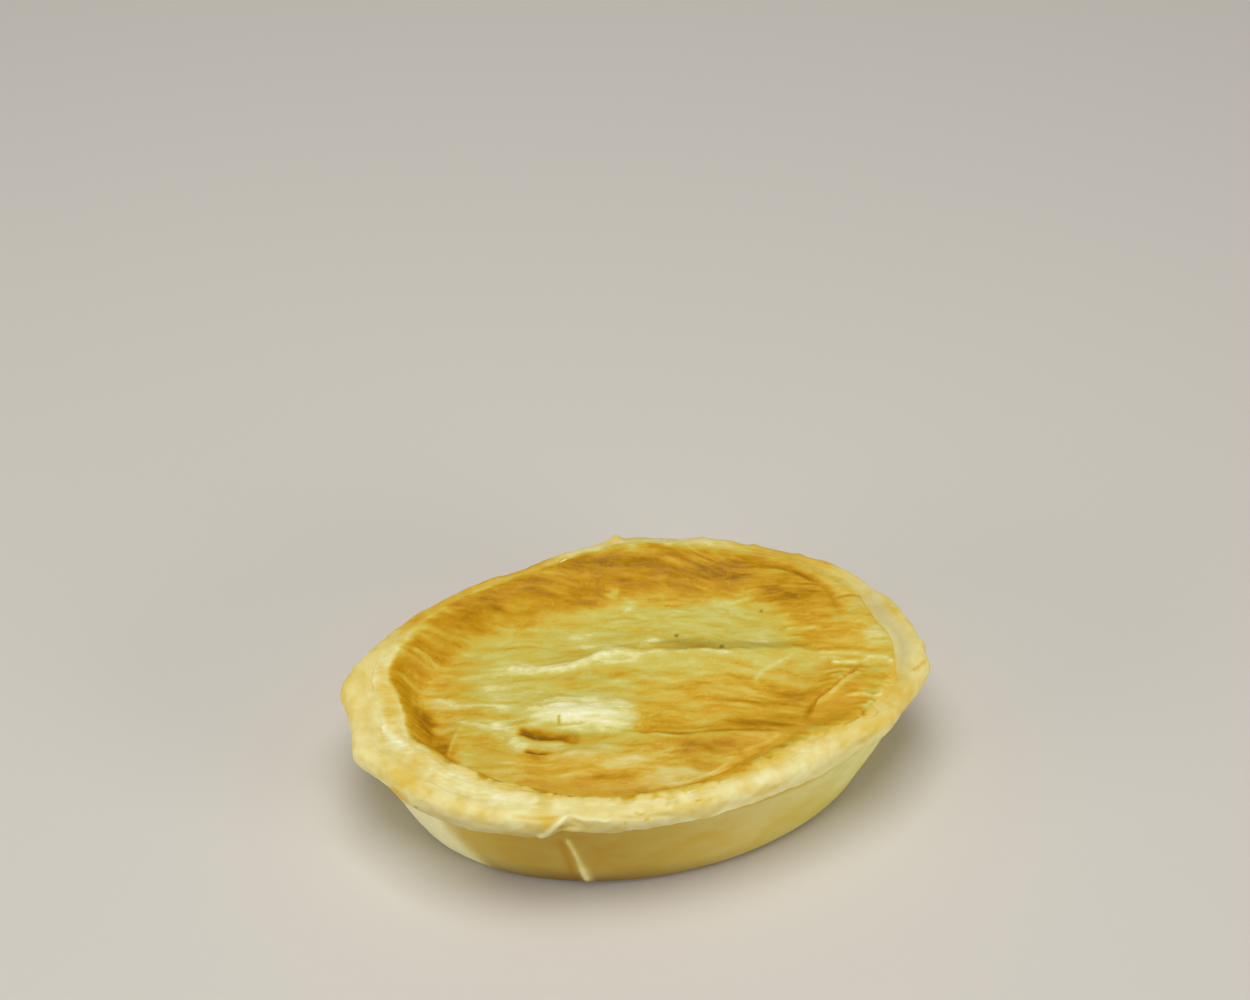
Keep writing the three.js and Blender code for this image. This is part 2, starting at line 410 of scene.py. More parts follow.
@dataclass(frozen=True)
class Lump:
    """A knob or corner of the rim, seen from above.

    Attributes:
        name: what it is.
        at: its place.
        reach: how wide it is.
        height: how far it stands out, or below 0 sinks in.
    """

    name: str
    at: Point
    reach: float
    height: float

    def relief(self, plan: Values) -> Values:
        """How far it lifts each place."""
        return self.height * bell(np.hypot(plan[:, 0] - self.at[0], plan[:, 1] - self.at[1]) / self.reach)


# How far the rim is baked, its right, back and left painted darker than its front as painted shade,
# areas of it that are more or less baked, and its knobs and corners
RIM_BAKE_AND_SHADE = Sides(right=0.27, back=0.22, left=0.2, front=0.13)
RIM_PATCHES = (
    Patch("browned back left", (-39, 35.5), (17, 4.6), 0.56, 0.9, 38, 1.5, 0.4),
    Patch("browned back", (-19, 42), (11, 4), 0.66, 0.9, 30, 1.5, 0.4),
    Patch("browned back right", (44, 30), (12, 5), 0.5, 0.9, -17, 1.5, 0.4),
    Patch("white nib at the back right", (50.8, 30.2), (1.6, 1.0), 0.0, 0.9, -17, 1.5, 0.2),
    Patch("peach inside the left vein", (-59.5, 6), (2.2, 10), 0.38, 0.8, 14, 1.5, 0.3),
    Patch("yellow left corner", (-67, 14), (4, 3.4), 0.34, 0.8, 0, 1.5, 0.3),
    Patch("peach at the left corner", (-58, 23), (5, 3), 0.34, 0.7, 40, 1.5, 0.3),
    Patch("peach at the front left", (-60, -14), (5, 3), 0.3, 0.7, -30, 1.5, 0.3),
    Patch("gold at the right front", (58, -18.5), (5, 6), 0.52, 0.85, 30, 1.5, 0.4),
    Patch("gold outside the crease", (54.6, 17.5), (10, 3.6), 0.4, 0.95, -43, 1.6, 0.3),
    Patch("gold of the right flap", (57.6, 4.6), (7, 2.4), 0.44, 0.9, -75, 1.6, 0.3),
    Patch("pale right flap", (58.4, -4.6), (3.2, 2.2), 0.14, 0.8, -75, 1.6, 0.3),
    Patch("gold inside the right front", (52.5, -20), (6, 4.5), 0.5, 0.85, 10, 1.5, 0.4),
    Patch("peach at the front right", (19.5, -36.8), (9, 2.2), 0.44, 0.8, 25, 1.5, 0.4),
    Patch("cream at the front right", (33, -33.4), (7, 2.2), 0.2, 0.75, 36, 1.5, 0.3),
    Patch("gold before the fold", (44.4, -28.4), (5, 2.2), 0.42, 0.7, 46, 1.5, 0.3),
    Patch("yellow left side", (-66.9, 3), (3, 8), 0.32, 0.6, 14, 1.5, 0.3),
    Patch("peach at the front", (-19, -39.6), (8, 2.6), 0.3, 0.7, 6, 1.5, 0.4),
    Patch("yellow at the right front", (36, -32), (5, 2.4), 0.34, 0.6, 40, 1.5, 0.3),
    # painted shade on the back edge, which is out of the light
    Patch("painted shade on the back edge", (9, 43.2), (10, 2), 0.36, 0.7, 12, 1.5, 0.3),
)
RIM_LUMPS = (
    Lump("left corner", (-68.2, 12.2), 3.6, 0.7),
    Lump("left side", (-69.6, 2.0), 7.0, 0.35),
    Lump("left low corner", (-69.6, -7.4), 3.4, 0.4),
    Lump("back left", (-10, 43), 14.0, 0.7),
    Lump("back left step", (-27, 40.2), 3.0, 0.7),
    Lump("far back left", (-36, 37.6), 8.0, 0.4),
    Lump("back knob", (6.1, 43.2), 1.4, 1.1),
    Lump("back dip", (17.5, 42.2), 5.0, -0.5),
    Lump("second back knob", (27.8, 39.9), 1.2, 0.8),
    Lump("back right", (33.5, 38.2), 7.0, 0.9),
    Lump("back step", (40.4, 35.4), 1.5, 0.7),
    Lump("white nib", (50.6, 29.9), 1.3, 1.1),
    Lump("right back", (65.4, 13.4), 4.0, -0.6),
    Lump("right nib", (69.6, -7.2), 1.1, 0.9),
    Lump("right corner", (68.0, -13.0), 4.5, 0.9),
)


@dataclass(frozen=True)
class RimPastry:
    """The rim's top, which the lid and the case share: cream, with peach blotches, lumps and fine creases.

    Attributes:
        bake: how far each side is baked, with painted shade on the sides that get less light than the
            front.
        patches: areas that are more or less baked, seen from above.
        knobs: its larger lumps and corners.
        blotches: broad peach blotches.
        mottle: small spots.
        rags: what moves the patches' edges along and across.
        waves: low waves all over.
        creases: fine creases along the rim.
        ring: radius of the circle on which the creases are laid out.
    """

    bake: Sides
    patches: tuple[Patch, ...]
    knobs: tuple[Lump, ...]
    blotches: Grain = Grain((10.0, 10.0, 6.0), 4, 9.0, 0.2)
    mottle: Grain = Grain((3.0, 3.0, 2.2), 4, 11.0, 0.09)
    rags: tuple[Grain, Grain] = (Grain((6.0, 6.0, 6.0), 3, 12.0, 3.0), Grain((6.0, 6.0, 6.0), 3, 13.0, 3.0))
    waves: Grain = Grain((8.0, 8.0), 3, 3.0, 0.26)
    creases: Grain = Grain((9.0, 9.0, 1.7), 3, 19.0, 0.12)
    ring: float = 60.0

    def tone(self, places: Values) -> Values:
        """How far the rim is baked.

        Args:
            places: rows of x, y and z on the rim.

        Returns:
            One value for each place, 0 for cream to 1 for dark.
        """
        blotches = ease(self.blotches.pattern(places), -0.1, 0.7)
        tone = self.bake.at(bearing_of(places)) + self.blotches.amount * blotches
        edges = np.stack([rag.at(places) for rag in self.rags], 1)
        for patch in self.patches:
            tone = mix(tone, patch.bake, patch.weight(places[:, :2], edges))
        return tone + self.mottle.at(places)

    def relief(self, plan: Values, inset: Values) -> Values:
        """How far the rim's lumps and creases lift places.

        Args:
            plan: rows of x and y.
            inset: how far each place is inside the rim's outer edge.

        Returns:
            One height for each place.
        """
        bearing = np.radians(bearing_of(plan))
        ring = np.column_stack([self.ring * np.cos(bearing), self.ring * np.sin(bearing), inset])
        knobs = sum(knob.relief(plan) for knob in self.knobs)
        return self.waves.at(plan) + self.creases.ridges(ring) + knobs


RIM = RimPastry(RIM_BAKE_AND_SHADE, RIM_PATCHES, RIM_LUMPS)


class Corners:
    """A piece's corners as arrays in millimetres, to shape and paint them all at once."""

    def __init__(self, piece: Piece) -> None:
        """Reads the corners of a piece.

        Args:
            piece: the mesh object.
        """
        self.mesh = piece.data
        flat = np.empty(len(self.mesh.vertices) * 3)
        self.mesh.vertices.foreach_get("co", flat)
        self.places = flat.reshape(-1, 3) / MM

    @property
    def plan(self) -> Values:
        """The corners' places from above."""
        return self.places[:, :2]

    @property
    def bearing(self) -> Values:
        """The corners' oval bearings in degrees."""
        return bearing_of(self.places)

    def normals(self) -> Values:
        """The surface's outward direction at each corner.

        Returns:
            Rows of x, y and z.
        """
        flat = np.empty(len(self.mesh.vertices) * 3)
        self.mesh.vertices.foreach_get("normal", flat)
        return flat.reshape(-1, 3)

    def store(self) -> None:
        """Writes the corners back to the mesh."""
        self.mesh.vertices.foreach_set("co", (self.places * MM).ravel())
        self.mesh.update()

    def press(self, amount: Values) -> None:
        """Moves each corner out along the surface's own direction, or in where below 0."""
        self.places += self.normals() * amount[:, None]
        self.store()

    def paint(self, name: str, values: Values) -> None:
        """Keeps one value for each corner as an attribute, which the finish reads by its name."""
        layer = self.mesh.attributes.new(name, "FLOAT", "POINT")
        layer.data.foreach_set("value", values.astype(np.float32))


class SmoothForm:
    """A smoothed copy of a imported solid, which new pieces are drawn onto and which is then discarded."""

    join_gap: float = 0.01  # corners closer than this are one
    rim_share: float = 0.8  # share of the rim's oval past which a corner counts for the outline

    def __init__(self, node: str, levels: int = 2) -> None:
        """Copies a solid, joins its loose triangles and rounds its facets.

        Args:
            node: the solid's name.
            levels: how often its faces are divided.
        """
        self.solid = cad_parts[node]
        self.piece = bpy.data.objects.new(f"{node}_form", self.solid.data.copy())
        bpy.context.scene.collection.objects.link(self.piece)
        with editing(self.piece):
            bpy.ops.mesh.select_all(action="SELECT")
            bpy.ops.mesh.remove_doubles(threshold=self.join_gap * MM)
            bpy.ops.mesh.tris_convert_to_quads(face_threshold=math.pi, shape_threshold=math.pi)
        finish_with(self.piece, "SUBSURF", levels=levels, render_levels=levels)

    def outline(self, bearings: Values) -> Values:
        """The solid's reach from above, as distances from the middle.

        Args:
            bearings: true bearings in radians.

        Returns:
            The outermost distance on each bearing.
        """
        plan = Corners(self.piece).plan
        plan = plan[np.hypot(plan[:, 0] / RIM_HALF[0], plan[:, 1] / RIM_HALF[1]) > self.rim_share]
        angle = np.degrees(np.arctan2(plan[:, 1], plan[:, 0]))
        bins = np.zeros(360)
        np.maximum.at(bins, np.floor(angle).astype(int) % 360, np.hypot(plan[:, 0], plan[:, 1]))
        middles = np.arange(360) + 0.5
        full = bins > 0.0
        bins = np.interp(middles, middles[full], bins[full], period=360.0)
        return np.interp(np.degrees(bearings) % 360.0, middles, evened(bins), period=360.0)

    def heights(self, bearings: Values, reaches: Values) -> Values:
        """The height of the solid's top at places round the pie.

        Args:
            bearings: true bearings in radians.
            reaches: distances from the middle.

        Returns:
            One height for each place, evened out a little along the round.
        """
        found = []
        for bearing, reach in zip(bearings, reaches):
            above = Vector((reach * math.cos(bearing), reach * math.sin(bearing), CLEAR_ABOVE)) * MM
            found.append(self.piece.ray_cast(above, Vector((0, 0, -1)))[1].z / MM)
        return evened(np.array(found))

    def discard(self) -> None:
        """Takes the copy out of the scene."""
        bpy.data.objects.remove(self.piece)


class RimJoin:
    """The line where the lid's edge lies on the rim, and the height of the rim's top across it.

    The two pieces run into one another along it, but for the right end, where the lid's edge stands free.
    """

    inside: float = 2.4  # the lid's own height is taken this far inside the line
    outside: float = 0.9  # and the case's this far outside
    dip: float = 0.06  # either piece goes this far under the other past the line
    free: Swell = Swell(-4, 19, 1.5)  # where the lid's edge stands free, 1 or more for wholly

    def __init__(self, lid: SmoothForm, case: SmoothForm) -> None:
        """Measures the line and the heights on both sides of it.

        Args:
            lid: the lid's smoothed solid.
            case: the case's smoothed solid.
        """
        self.bearings = np.arange(0.5, 360.0)
        ways = np.radians(self.bearings)
        self.rim = case.outline(ways)
        self.edge = lid.outline(ways)
        self.inner = lid.heights(ways, self.edge - self.inside)
        self.outer = case.heights(ways, self.edge + self.outside)

    def read(self, plan: Values, values: Values) -> Values:
        """What is kept for each bearing, at plan places."""
        bearing = np.degrees(np.arctan2(plan[:, 1], plan[:, 0])) % 360.0
        return np.interp(bearing, self.bearings, values, period=360.0)

    def inset(self, plan: Values) -> Values:
        """How far places are inside the rim's outer edge."""
        return self.read(plan, self.rim) - np.hypot(plan[:, 0], plan[:, 1])

    def past(self, plan: Values) -> Values:
        """How far places are outside the lid's edge, below 0 inside it."""
        return np.hypot(plan[:, 0], plan[:, 1]) - self.read(plan, self.edge)

    def freedom(self, plan: Values) -> Values:
        """How free the lid's edge stands, from 0 to 1."""
        return np.clip(self.free.amount(bearing_of(plan)), 0.0, 1.0)

    def beside(self, plan: Values, past: float, reach: float) -> Values:
        """How far places lie in a strip so far past the free edge and so wide to each side, from 0 to 1."""
        return bell((self.past(plan) - past) / reach) * self.freedom(plan)

    def level(self, plan: Values) -> Values:
        """The height of the joined rim's top near the line.

        Args:
            plan: rows of x and y.

        Returns:
            One height for each place.
        """
        inner = self.read(plan, self.inner)
        share = (self.past(plan) + self.inside) / (self.inside + self.outside)
        return mix(inner, self.read(plan, self.outer), share)


def linear(colour: Colour) -> tuple[float, float, float, float]:
    """A screen colour as the light values that the finishes take.

    Args:
        colour: red, green and blue from 0 to 255.

    Returns:
        The same as light, with full cover.
    """
    parts = [part / 255.0 for part in colour]
    lit = [part / 12.92 if part <= 0.04045 else ((part + 0.055) / 1.055) ** 2.4 for part in parts]
    return (lit[0], lit[1], lit[2], 1.0)


@dataclass(frozen=True)
class PastryFinish:
    """Baked pastry: coloured by how far it is baked, with fine streaks, a grain and a soft sheen.

    Scales are lumps to the metre: along the streaks, across them and up.

    Attributes:
        name: the finish's name.
        bakes: how far baked, and the lid's colour there, from raw to dark.
        crust_bakes: the same for the rim and the wall.
        char_and_shade: the colour of burnt cracks and burnt spots, and of painted shade.
        streak: how much fine streaks change the baking.
        mottle: how much soft mottling changes it.
        sheen: roughness where pale and where dark.
        grain_depth: depth of the fine grain.
        streak_scale: scale of the streaks.
        thread_scale: scale of the finer threads in them.
        thread_share: how much these change the baking, as a share of the streaks.
        mottle_scale: scale of the mottling.
        grain_scale: scale of the fine grain.
        grain_strength: how strongly the light shows the grain.
        blotch_layers, grain_layers: how many finer layers the noises have.
        gloss: how much light the surface throws straight back.
        glow: share of the light that goes into the pastry and comes out again.
        glow_spread: how far its red, green and blue spread, as shares of glow_reach.
        glow_reach: how far the light spreads.
    """

    name: str
    bakes: Bakes
    crust_bakes: Bakes
    char_and_shade: Colour
    streak: float
    mottle: float
    sheen: Point
    grain_depth: float
    streak_scale: Place = (190.0, 760.0, 500.0)
    thread_scale: Place = (420.0, 1700.0, 1100.0)
    thread_share: float = 0.7
    mottle_scale: Place = (260.0, 330.0, 330.0)
    grain_scale: Place = (500.0, 1100.0, 900.0)
    grain_strength: float = 0.6
    blotch_layers: float = 4.0
    grain_layers: float = 5.0
    gloss: float = 0.1
    glow: float = 0.1
    glow_spread: Place = (1.0, 0.6, 0.25)
    glow_reach: float = 2.0

    def make(self) -> bpy.types.Material:
        """Builds the finish's nodes.

        Returns:
            The material, which reads the attributes bake, crust and char_and_shade.
        """
        material = bpy.data.materials.new(self.name)
        material.use_nodes = True
        tree = material.node_tree
        shader = tree.nodes["Principled BSDF"]
        place = tree.nodes.new("ShaderNodeTexCoord").outputs["Object"]
        baked = self.attribute(tree, "bake")
        baked = self.blotches(tree, place, self.streak_scale, self.streak, baked)
        baked = self.blotches(tree, place, self.thread_scale, self.thread_share * self.streak, baked)
        baked = self.blotches(tree, place, self.mottle_scale, self.mottle, baked)
        lid_colour = self.ramp(tree, self.bakes, baked)
        pastry = self.blend(tree, "crust", lid_colour, self.ramp(tree, self.crust_bakes, baked))
        char_and_shade = tree.nodes.new("ShaderNodeRGB").outputs["Color"]
        char_and_shade.default_value = linear(self.char_and_shade)
        tree.links.new(self.blend(tree, "char_and_shade", pastry, char_and_shade), shader.inputs["Base Color"])
        sheen = tree.nodes.new("ShaderNodeMapRange")
        sheen.inputs["To Min"].default_value, sheen.inputs["To Max"].default_value = self.sheen
        tree.links.new(baked, sheen.inputs["Value"])
        tree.links.new(sheen.outputs["Result"], shader.inputs["Roughness"])
        tree.links.new(self.bumps(tree, place), shader.inputs["Normal"])
        shader.inputs["Specular IOR Level"].default_value = self.gloss
        shader.inputs["Subsurface Weight"].default_value = self.glow
        shader.inputs["Subsurface Radius"].default_value = self.glow_spread
        shader.inputs["Subsurface Scale"].default_value = self.glow_reach * MM
        return material

    @staticmethod
    def ramp(tree: Nodes, bakes: Bakes, value: Socket) -> Socket:
        """Colours a value by a scale of baking.

        Args:
            tree: the nodes to add to.
            bakes: the scale.
            value: the socket of the baking.

        Returns:
            The colour's socket.
        """
        node = tree.nodes.new("ShaderNodeValToRGB")
        steps = node.color_ramp.elements
        for step, (position, colour) in zip(steps, (bakes[0], bakes[-1])):
            step.position, step.color = position, linear(colour)
        for position, colour in bakes[1:-1]:
            steps.new(position).color = linear(colour)
        tree.links.new(value, node.inputs["Fac"])
        return node.outputs["Color"]

    def blend(self, tree: Nodes, name: str, first: Socket, second: Socket) -> Socket:
        """Goes from one colour to another by a painted value.

        Args:
            tree: the nodes to add to.
            name: the attribute's name.
            first: the colour where it is 0.
            second: the colour where it is 1.

        Returns:
            The blended colour's socket.
        """
        node = tree.nodes.new("ShaderNodeMix")
        node.data_type = "RGBA"
        colours = [socket for socket in node.inputs if socket.type == "RGBA"]
        tree.links.new(self.attribute(tree, name), node.inputs["Factor"])
        tree.links.new(first, colours[0])
        tree.links.new(second, colours[1])
        return next(socket for socket in node.outputs if socket.type == "RGBA")

    @staticmethod
    def attribute(tree: Nodes, name: str) -> Socket:
        """Reads a painted value.

        Args:
            tree: the nodes to add to.
            name: the attribute's name.

        Returns:
            The value's socket.
        """
        node = tree.nodes.new("ShaderNodeAttribute")
        node.attribute_name = name
        return node.outputs["Fac"]

    @staticmethod
    def lumps(tree: Nodes, place: Socket, scale: Place, detail: float) -> Socket:
        """Noise laid along the streaks.

        Args:
            tree: the nodes to add to.
            place: the socket of Object coordinates.
            scale: its scale.
            detail: how many finer layers.

        Returns:
            The noise's value socket.
        """
        turn = tree.nodes.new("ShaderNodeMapping")
        turn.inputs["Rotation"].default_value = (0.0, 0.0, -STREAKS)
        tree.links.new(place, turn.inputs["Vector"])
        stretch = tree.nodes.new("ShaderNodeMapping")
        stretch.inputs["Scale"].default_value = scale
        tree.links.new(turn.outputs["Vector"], stretch.inputs["Vector"])
        texture = tree.nodes.new("ShaderNodeTexNoise")
        texture.inputs["Scale"].default_value = 1.0
        texture.inputs["Detail"].default_value = detail
        tree.links.new(stretch.outputs["Vector"], texture.inputs["Vector"])
        return texture.outputs["Fac"]

    def blotches(self, tree: Nodes, place: Socket, scale: Place, amount: float, value: Socket) -> Socket:
        """Adds noise to a value.

        Args:
            tree: the nodes to add to.
            place: the socket of Object coordinates.
            scale: the noise's scale.
            amount: how much the noise changes the value.
            value: the socket to change.

        Returns:
            The changed value's socket.
        """
        middle = tree.nodes.new("ShaderNodeMath")
        middle.operation = "SUBTRACT"
        middle.inputs[1].default_value = 0.5
        tree.links.new(self.lumps(tree, place, scale, self.blotch_layers), middle.inputs[0])
        added = tree.nodes.new("ShaderNodeMath")
        added.operation = "MULTIPLY_ADD"
        added.inputs[1].default_value = amount
        tree.links.new(middle.outputs[0], added.inputs[0])
        tree.links.new(value, added.inputs[2])
        return added.outputs[0]

    def bumps(self, tree: Nodes, place: Socket) -> Socket:
        """The fine grain that the light catches.

        Args:
            tree: the nodes to add to.
            place: the socket of Object coordinates.

        Returns:
            The bumped normal's socket.
        """
        bump = tree.nodes.new("ShaderNodeBump")
        bump.inputs["Strength"].default_value = self.grain_strength
        bump.inputs["Distance"].default_value = self.grain_depth * MM
        tree.links.new(self.lumps(tree, place, self.grain_scale, self.grain_layers), bump.inputs["Height"])
        return bump.outputs["Normal"]


PUFF_BAKES = (
    (0.0, (250, 247, 204)),
    (0.1, (236, 229, 160)),
    (0.22, (213, 204, 114)),
    (0.34, (208, 191, 84)),
    (0.46, (209, 181, 64)),
    (0.58, (207, 162, 38)),
    (0.72, (194, 142, 15)),
    (0.86, (160, 113, 8)),
    (1.0, (116, 79, 5)),
)
CRUST_BAKES = (
    (0.0, (250, 245, 204)),
    (0.12, (240, 230, 164)),
    (0.25, (232, 213, 132)),
    (0.4, (225, 194, 84)),
    (0.55, (220, 173, 50)),
    (0.75, (198, 145, 22)),
    (1.0, (138, 93, 12)),
)
PUFF_PASTRY = PastryFinish(
    name="baked_puff_pastry",
    bakes=PUFF_BAKES,
    crust_bakes=CRUST_BAKES,
    # the colour of the lid's burnt specks and of its painted shade
    char_and_shade=(64, 38, 10),
    streak=0.24,
    mottle=0.14,
    sheen=(0.5, 0.42),
    grain_depth=0.1,
)
SHORTCRUST = PastryFinish(
    name="baked_shortcrust",
    bakes=PUFF_BAKES,
    crust_bakes=CRUST_BAKES,
    # a neutral grey brown, for the case's painted shade and its burnt speck
    char_and_shade=(98, 74, 48),
    streak=0.03,
    mottle=0.1,
    sheen=(0.55, 0.5),
    grain_depth=0.1,
)

# An area of the lid that is nearly without streaks
SMOOTH_SLOPE = Patch("orange front slope", (42.4, -23.8), (7.2, 4.6), 0.66, 0.97, 30, 3.0, 0.05)

# Areas of the lid by how far they are baked, from the broad ones to the small
LID_PATCHES = (
    Patch("pale left middle", (-14, 15), (27, 11.5), 0.33, 0.95, 12, 2.0),
    Patch("pale right middle", (18, 13), (25, 8.5), 0.3, 0.95, -2, 2.0),
    Patch("olive behind", (2, 22), (14, 4), 0.28, 0.8, 4),
    Patch("brown streak at the back", (20, 25.4), (10, 2.4), 0.7, 0.8, -4),
    Patch("pale left of the ridge", (-33, 8.6), (7, 6), 0.2, 0.85, 0, 1.5, 0.6),
    Patch("pale below the ridge", (-24, 2.6), (13, 5), 0.26, 0.85, 0, 2.0),
    # painted shade below the ridge, on its slope that faces away from the light
    Patch("olive painted shade below the ridge", (-13, 6.4), (11, 1.7), 0.4, 0.7, 6),
    Patch("straw below the ridge", (14, 3.5), (22, 4), 0.31, 0.9, -2, 2.0),
    Patch("left floor", (-44, 9), (7, 14), 0.47, 0.8, 14),
    Patch("left front floor", (-38, -11), (13, 7), 0.46, 0.9, -16),
    Patch("light by the slits", (-34, -3.4), (5, 2), 0.08, 0.8, -14),
    Patch("left wall", (-55.5, 8), (3.0, 14), 0.68, 0.9, 14, 2.0, 0.3),
    # the left wall's foot and the left corner are brown with painted shadow at the foot of the recess's
    # left wall
    Patch("brown and painted shadow at the left wall's foot", (-51.4, 2.4), (2.6, 5.5), 0.9, 0.9, 10, 1.5, 0.4),
    Patch("left corner", (-49, -6.5), (2.6, 5.5), 0.86, 0.85, 28, 1.5, 0.4),
    Patch("brown right front", (20, -11), (26, 9), 0.52, 0.95, 0, 3.0, 0.7),
    Patch("light in the brown", (36, -7.4), (7, 3.4), 0.42, 0.85),
    Patch("light streak in the brown", (8, -7), (9, 1.6), 0.48, 0.7),
    Patch("dark behind the step", (13, -18.2), (17, 1.9), 0.66, 0.8, 0, 1.5, 0.6),
    Patch("gold before the step", (11, -24.4), (17, 4.4), 0.68, 0.9, -2),
    Patch("dark before the fold", (27, -20.6), (11, 3.2), 0.86, 0.85, -4, 1.5, 0.6),
    Patch("front strip", (-20, -21.8), (17, 4.6), 0.56, 0.92, -10, 2.0, 0.6),
    Patch("light on the front strip", (-7, -22.4), (9, 1.5), 0.24, 0.9, 10, 1.5, 0.6),
    Patch("dark streak before the step", (9, -23.6), (9, 1.3), 0.8, 0.85, 4, 1.5, 0.6),
    Patch("light before the band", (0, -28.4), (6, 1.7), 0.26, 0.85, 4, 1.5, 0.5),
    Patch("dark streak of the front strip", (-12, -25.4), (9, 1.2), 0.7, 0.8, 6, 1.5, 0.6),
    Patch("light spot before the step", (2, -22.6), (2.4, 0.9), 0.22, 0.7),
    Patch("brown front", (-24, -25), (9, 1.4), 0.68, 0.75, -10),
    SMOOTH_SLOPE,
    Patch("light of the mound", (-12, -6.6), (10.5, 6.6), 0.14, 0.95, -8, 1.4, 0.2, 9.0),
    Patch("pale mound", (-18, -5.2), (10, 4.6), 0.0, 0.98, -10, 1.3, 0.15),
    Patch("yellow on the mound", (-9, -2.4), (3.4, 2), 0.26, 0.4, -20, 1.2, 0.6),
    Patch("olive below the slit", (-13, -15.6), (11, 3), 0.34, 0.9, 2, 2.0),
    Patch("between the slits", (-25, -11.8), (7, 2.6), 0.2, 0.8, -10, 1.5, 0.3),
    Patch("white by the slits", (-31.6, -9.6), (2.4, 1.4), 0.08, 0.75, -30, 1.5, 0.4),
    Patch("shade of the second slit", (-23.4, -15.8), (3.6, 1.2), 0.6, 0.4, -10, 1.5, 0.4),
    Patch("gold on the pale", (-18, 4.6), (3.6, 2.2), 0.46, 0.65, 8),
    Patch("deep orange at the back", (-4, 37.4), (10, 2.0), 0.82, 0.9, 4, 1.5, 0.5),
    Patch("deep orange at the back right", (14, 33.4), (9, 1.7), 0.84, 0.9, 0, 1.5, 0.5),
    Patch("brown at the back left", (-24, 34), (18, 4.4), 0.8, 0.85, 20),
    Patch("gold at the back", (8, 31), (14, 1.8), 0.7, 0.7),
    Patch("brown at the back right", (30, 28.8), (13, 4), 0.87, 0.9, -4),
    Patch("brown in the corner", (43.2, 18.2), (5, 2.6), 0.84, 0.85, -14),
    Patch("gold by the corner", (36, 17), (5, 2.6), 0.46, 0.6, -10),
    Patch("light lump at the back left", (-27, 38), (4, 1.6), 0.36, 0.8),
    Patch("light lump at the back", (-14, 36.4), (3.4, 1.2), 0.42, 0.7),
    Patch("light lump at the back right", (20, 32.6), (3.4, 1.0), 0.42, 0.7),
    Patch("light lump by the corner", (31, 31), (5, 1.2), 0.46, 0.7),
    Patch("right gold", (46, 8), (6, 11), 0.68, 0.8, 14),
    Patch("brown by the right crease", (43, 15), (7, 3), 0.6, 0.7),
    Patch("gold outside the crease", (55, 17), (4.5, 8), 0.38, 0.9, 34, 1.6, 0.4),
    Patch("right yellow", (57.4, 4.5), (3.2, 6), 0.42, 0.9, 14, 1.6, 0.4),
    Patch("right yellow flap", (58.4, -4.4), (2.6, 3.4), 0.14, 0.85, 14, 1.6, 0.3),
    Patch("pale flakes at the right", (48, -6.5), (8, 2.6), 0.5, 0.8, -12),
    Patch("gold behind the flakes", (45.4, -1.6), (7, 3.2), 0.6, 0.75, -6),
    Patch("gold before the fold", (55.6, -15.5), (4, 4.5), 0.42, 0.8, 14),
    Patch("brown by the corner", (43, 15.2), (6.5, 2.4), 0.94, 0.8, -6),
    Patch("gold inside the crease", (45, 22), (5, 2.2), 0.48, 0.75, -30),
    Patch("brown left of the fold", (32, -14.4), (8, 2.4), 0.8, 0.8, 10),
    Patch("brown of the flap", (48, -19.4), (3.6, 2), 0.7, 0.7, 30, 1.5, 0.3),
    # painted shade behind the ridge, where the ridge shades the lid
    Patch("painted shade behind the ridge", (17, 8.6), (7.4, 2.4), 0.5, 0.8, -9, 1.6, 0.5),
    Patch("brown beside the fold", (42, -14.4), (9, 2.4), 0.7, 0.75, 46, 1.5, 0.4),
    Patch("brown brink at the front", (6, -33.4), (6, 1.5), 0.74, 0.8, 14, 1.5, 0.3),
    Patch("white lump", (50.2, -25.6), (1.6, 1.5), 0.04, 0.9, 0, 2.0, 0.2),
    Patch("pale flake at the left", (-33.4, 2.8), (3.2, 1.0), 0.02, 0.9, -8, 1.5, 0.4),
    Patch("pale spot at the back", (4.6, 25.6), (1.8, 1.6), 0.08, 0.8, 0, 1.5, 0.5),
    Patch("pale spot", (2.2, 29.2), (1.6, 1.2), 0.2, 0.7, 0, 1.5, 0.5),
    Patch("pale spot behind the ridge", (6.4, 13), (2.2, 2.6), 0.06, 0.8, -30, 1.5, 0.5),
    Patch("pale streak behind the ridge", (-2, 14.5), (7, 0.9), 0.12, 0.7),
    Patch("pale streak at the left", (-10, 19.6), (4, 1.2), 0.14, 0.6),
)

# Areas of the lid that take the rim's warmer colours, with how far in place of how far baked
LID_WARMTH = (
    Patch("brown right front", (21, -12), (29, 11), 0.6, 1.0, 0, 3.0, 0.6),
    Patch("front strip", (-14, -24), (27, 8), 1.0, 1.0, -6, 2.0),
    Patch("front band", (22, -28), (20, 5), 1.0, 1.0, 36, 2.0, 0.3),
    Patch("right fold", (42, -21), (9, 7), 1.0, 1.0, 30, 2.0, 0.3),
    Patch("left front floor", (-40, -10), (12, 9), 0.3, 1.0, -16),
    Patch("left floor", (-46, 9), (7, 15), 0.6, 1.0, 14),
    Patch("right end", (53, 4), (11, 18), 0.6, 1.0, 14, 2.0),
)

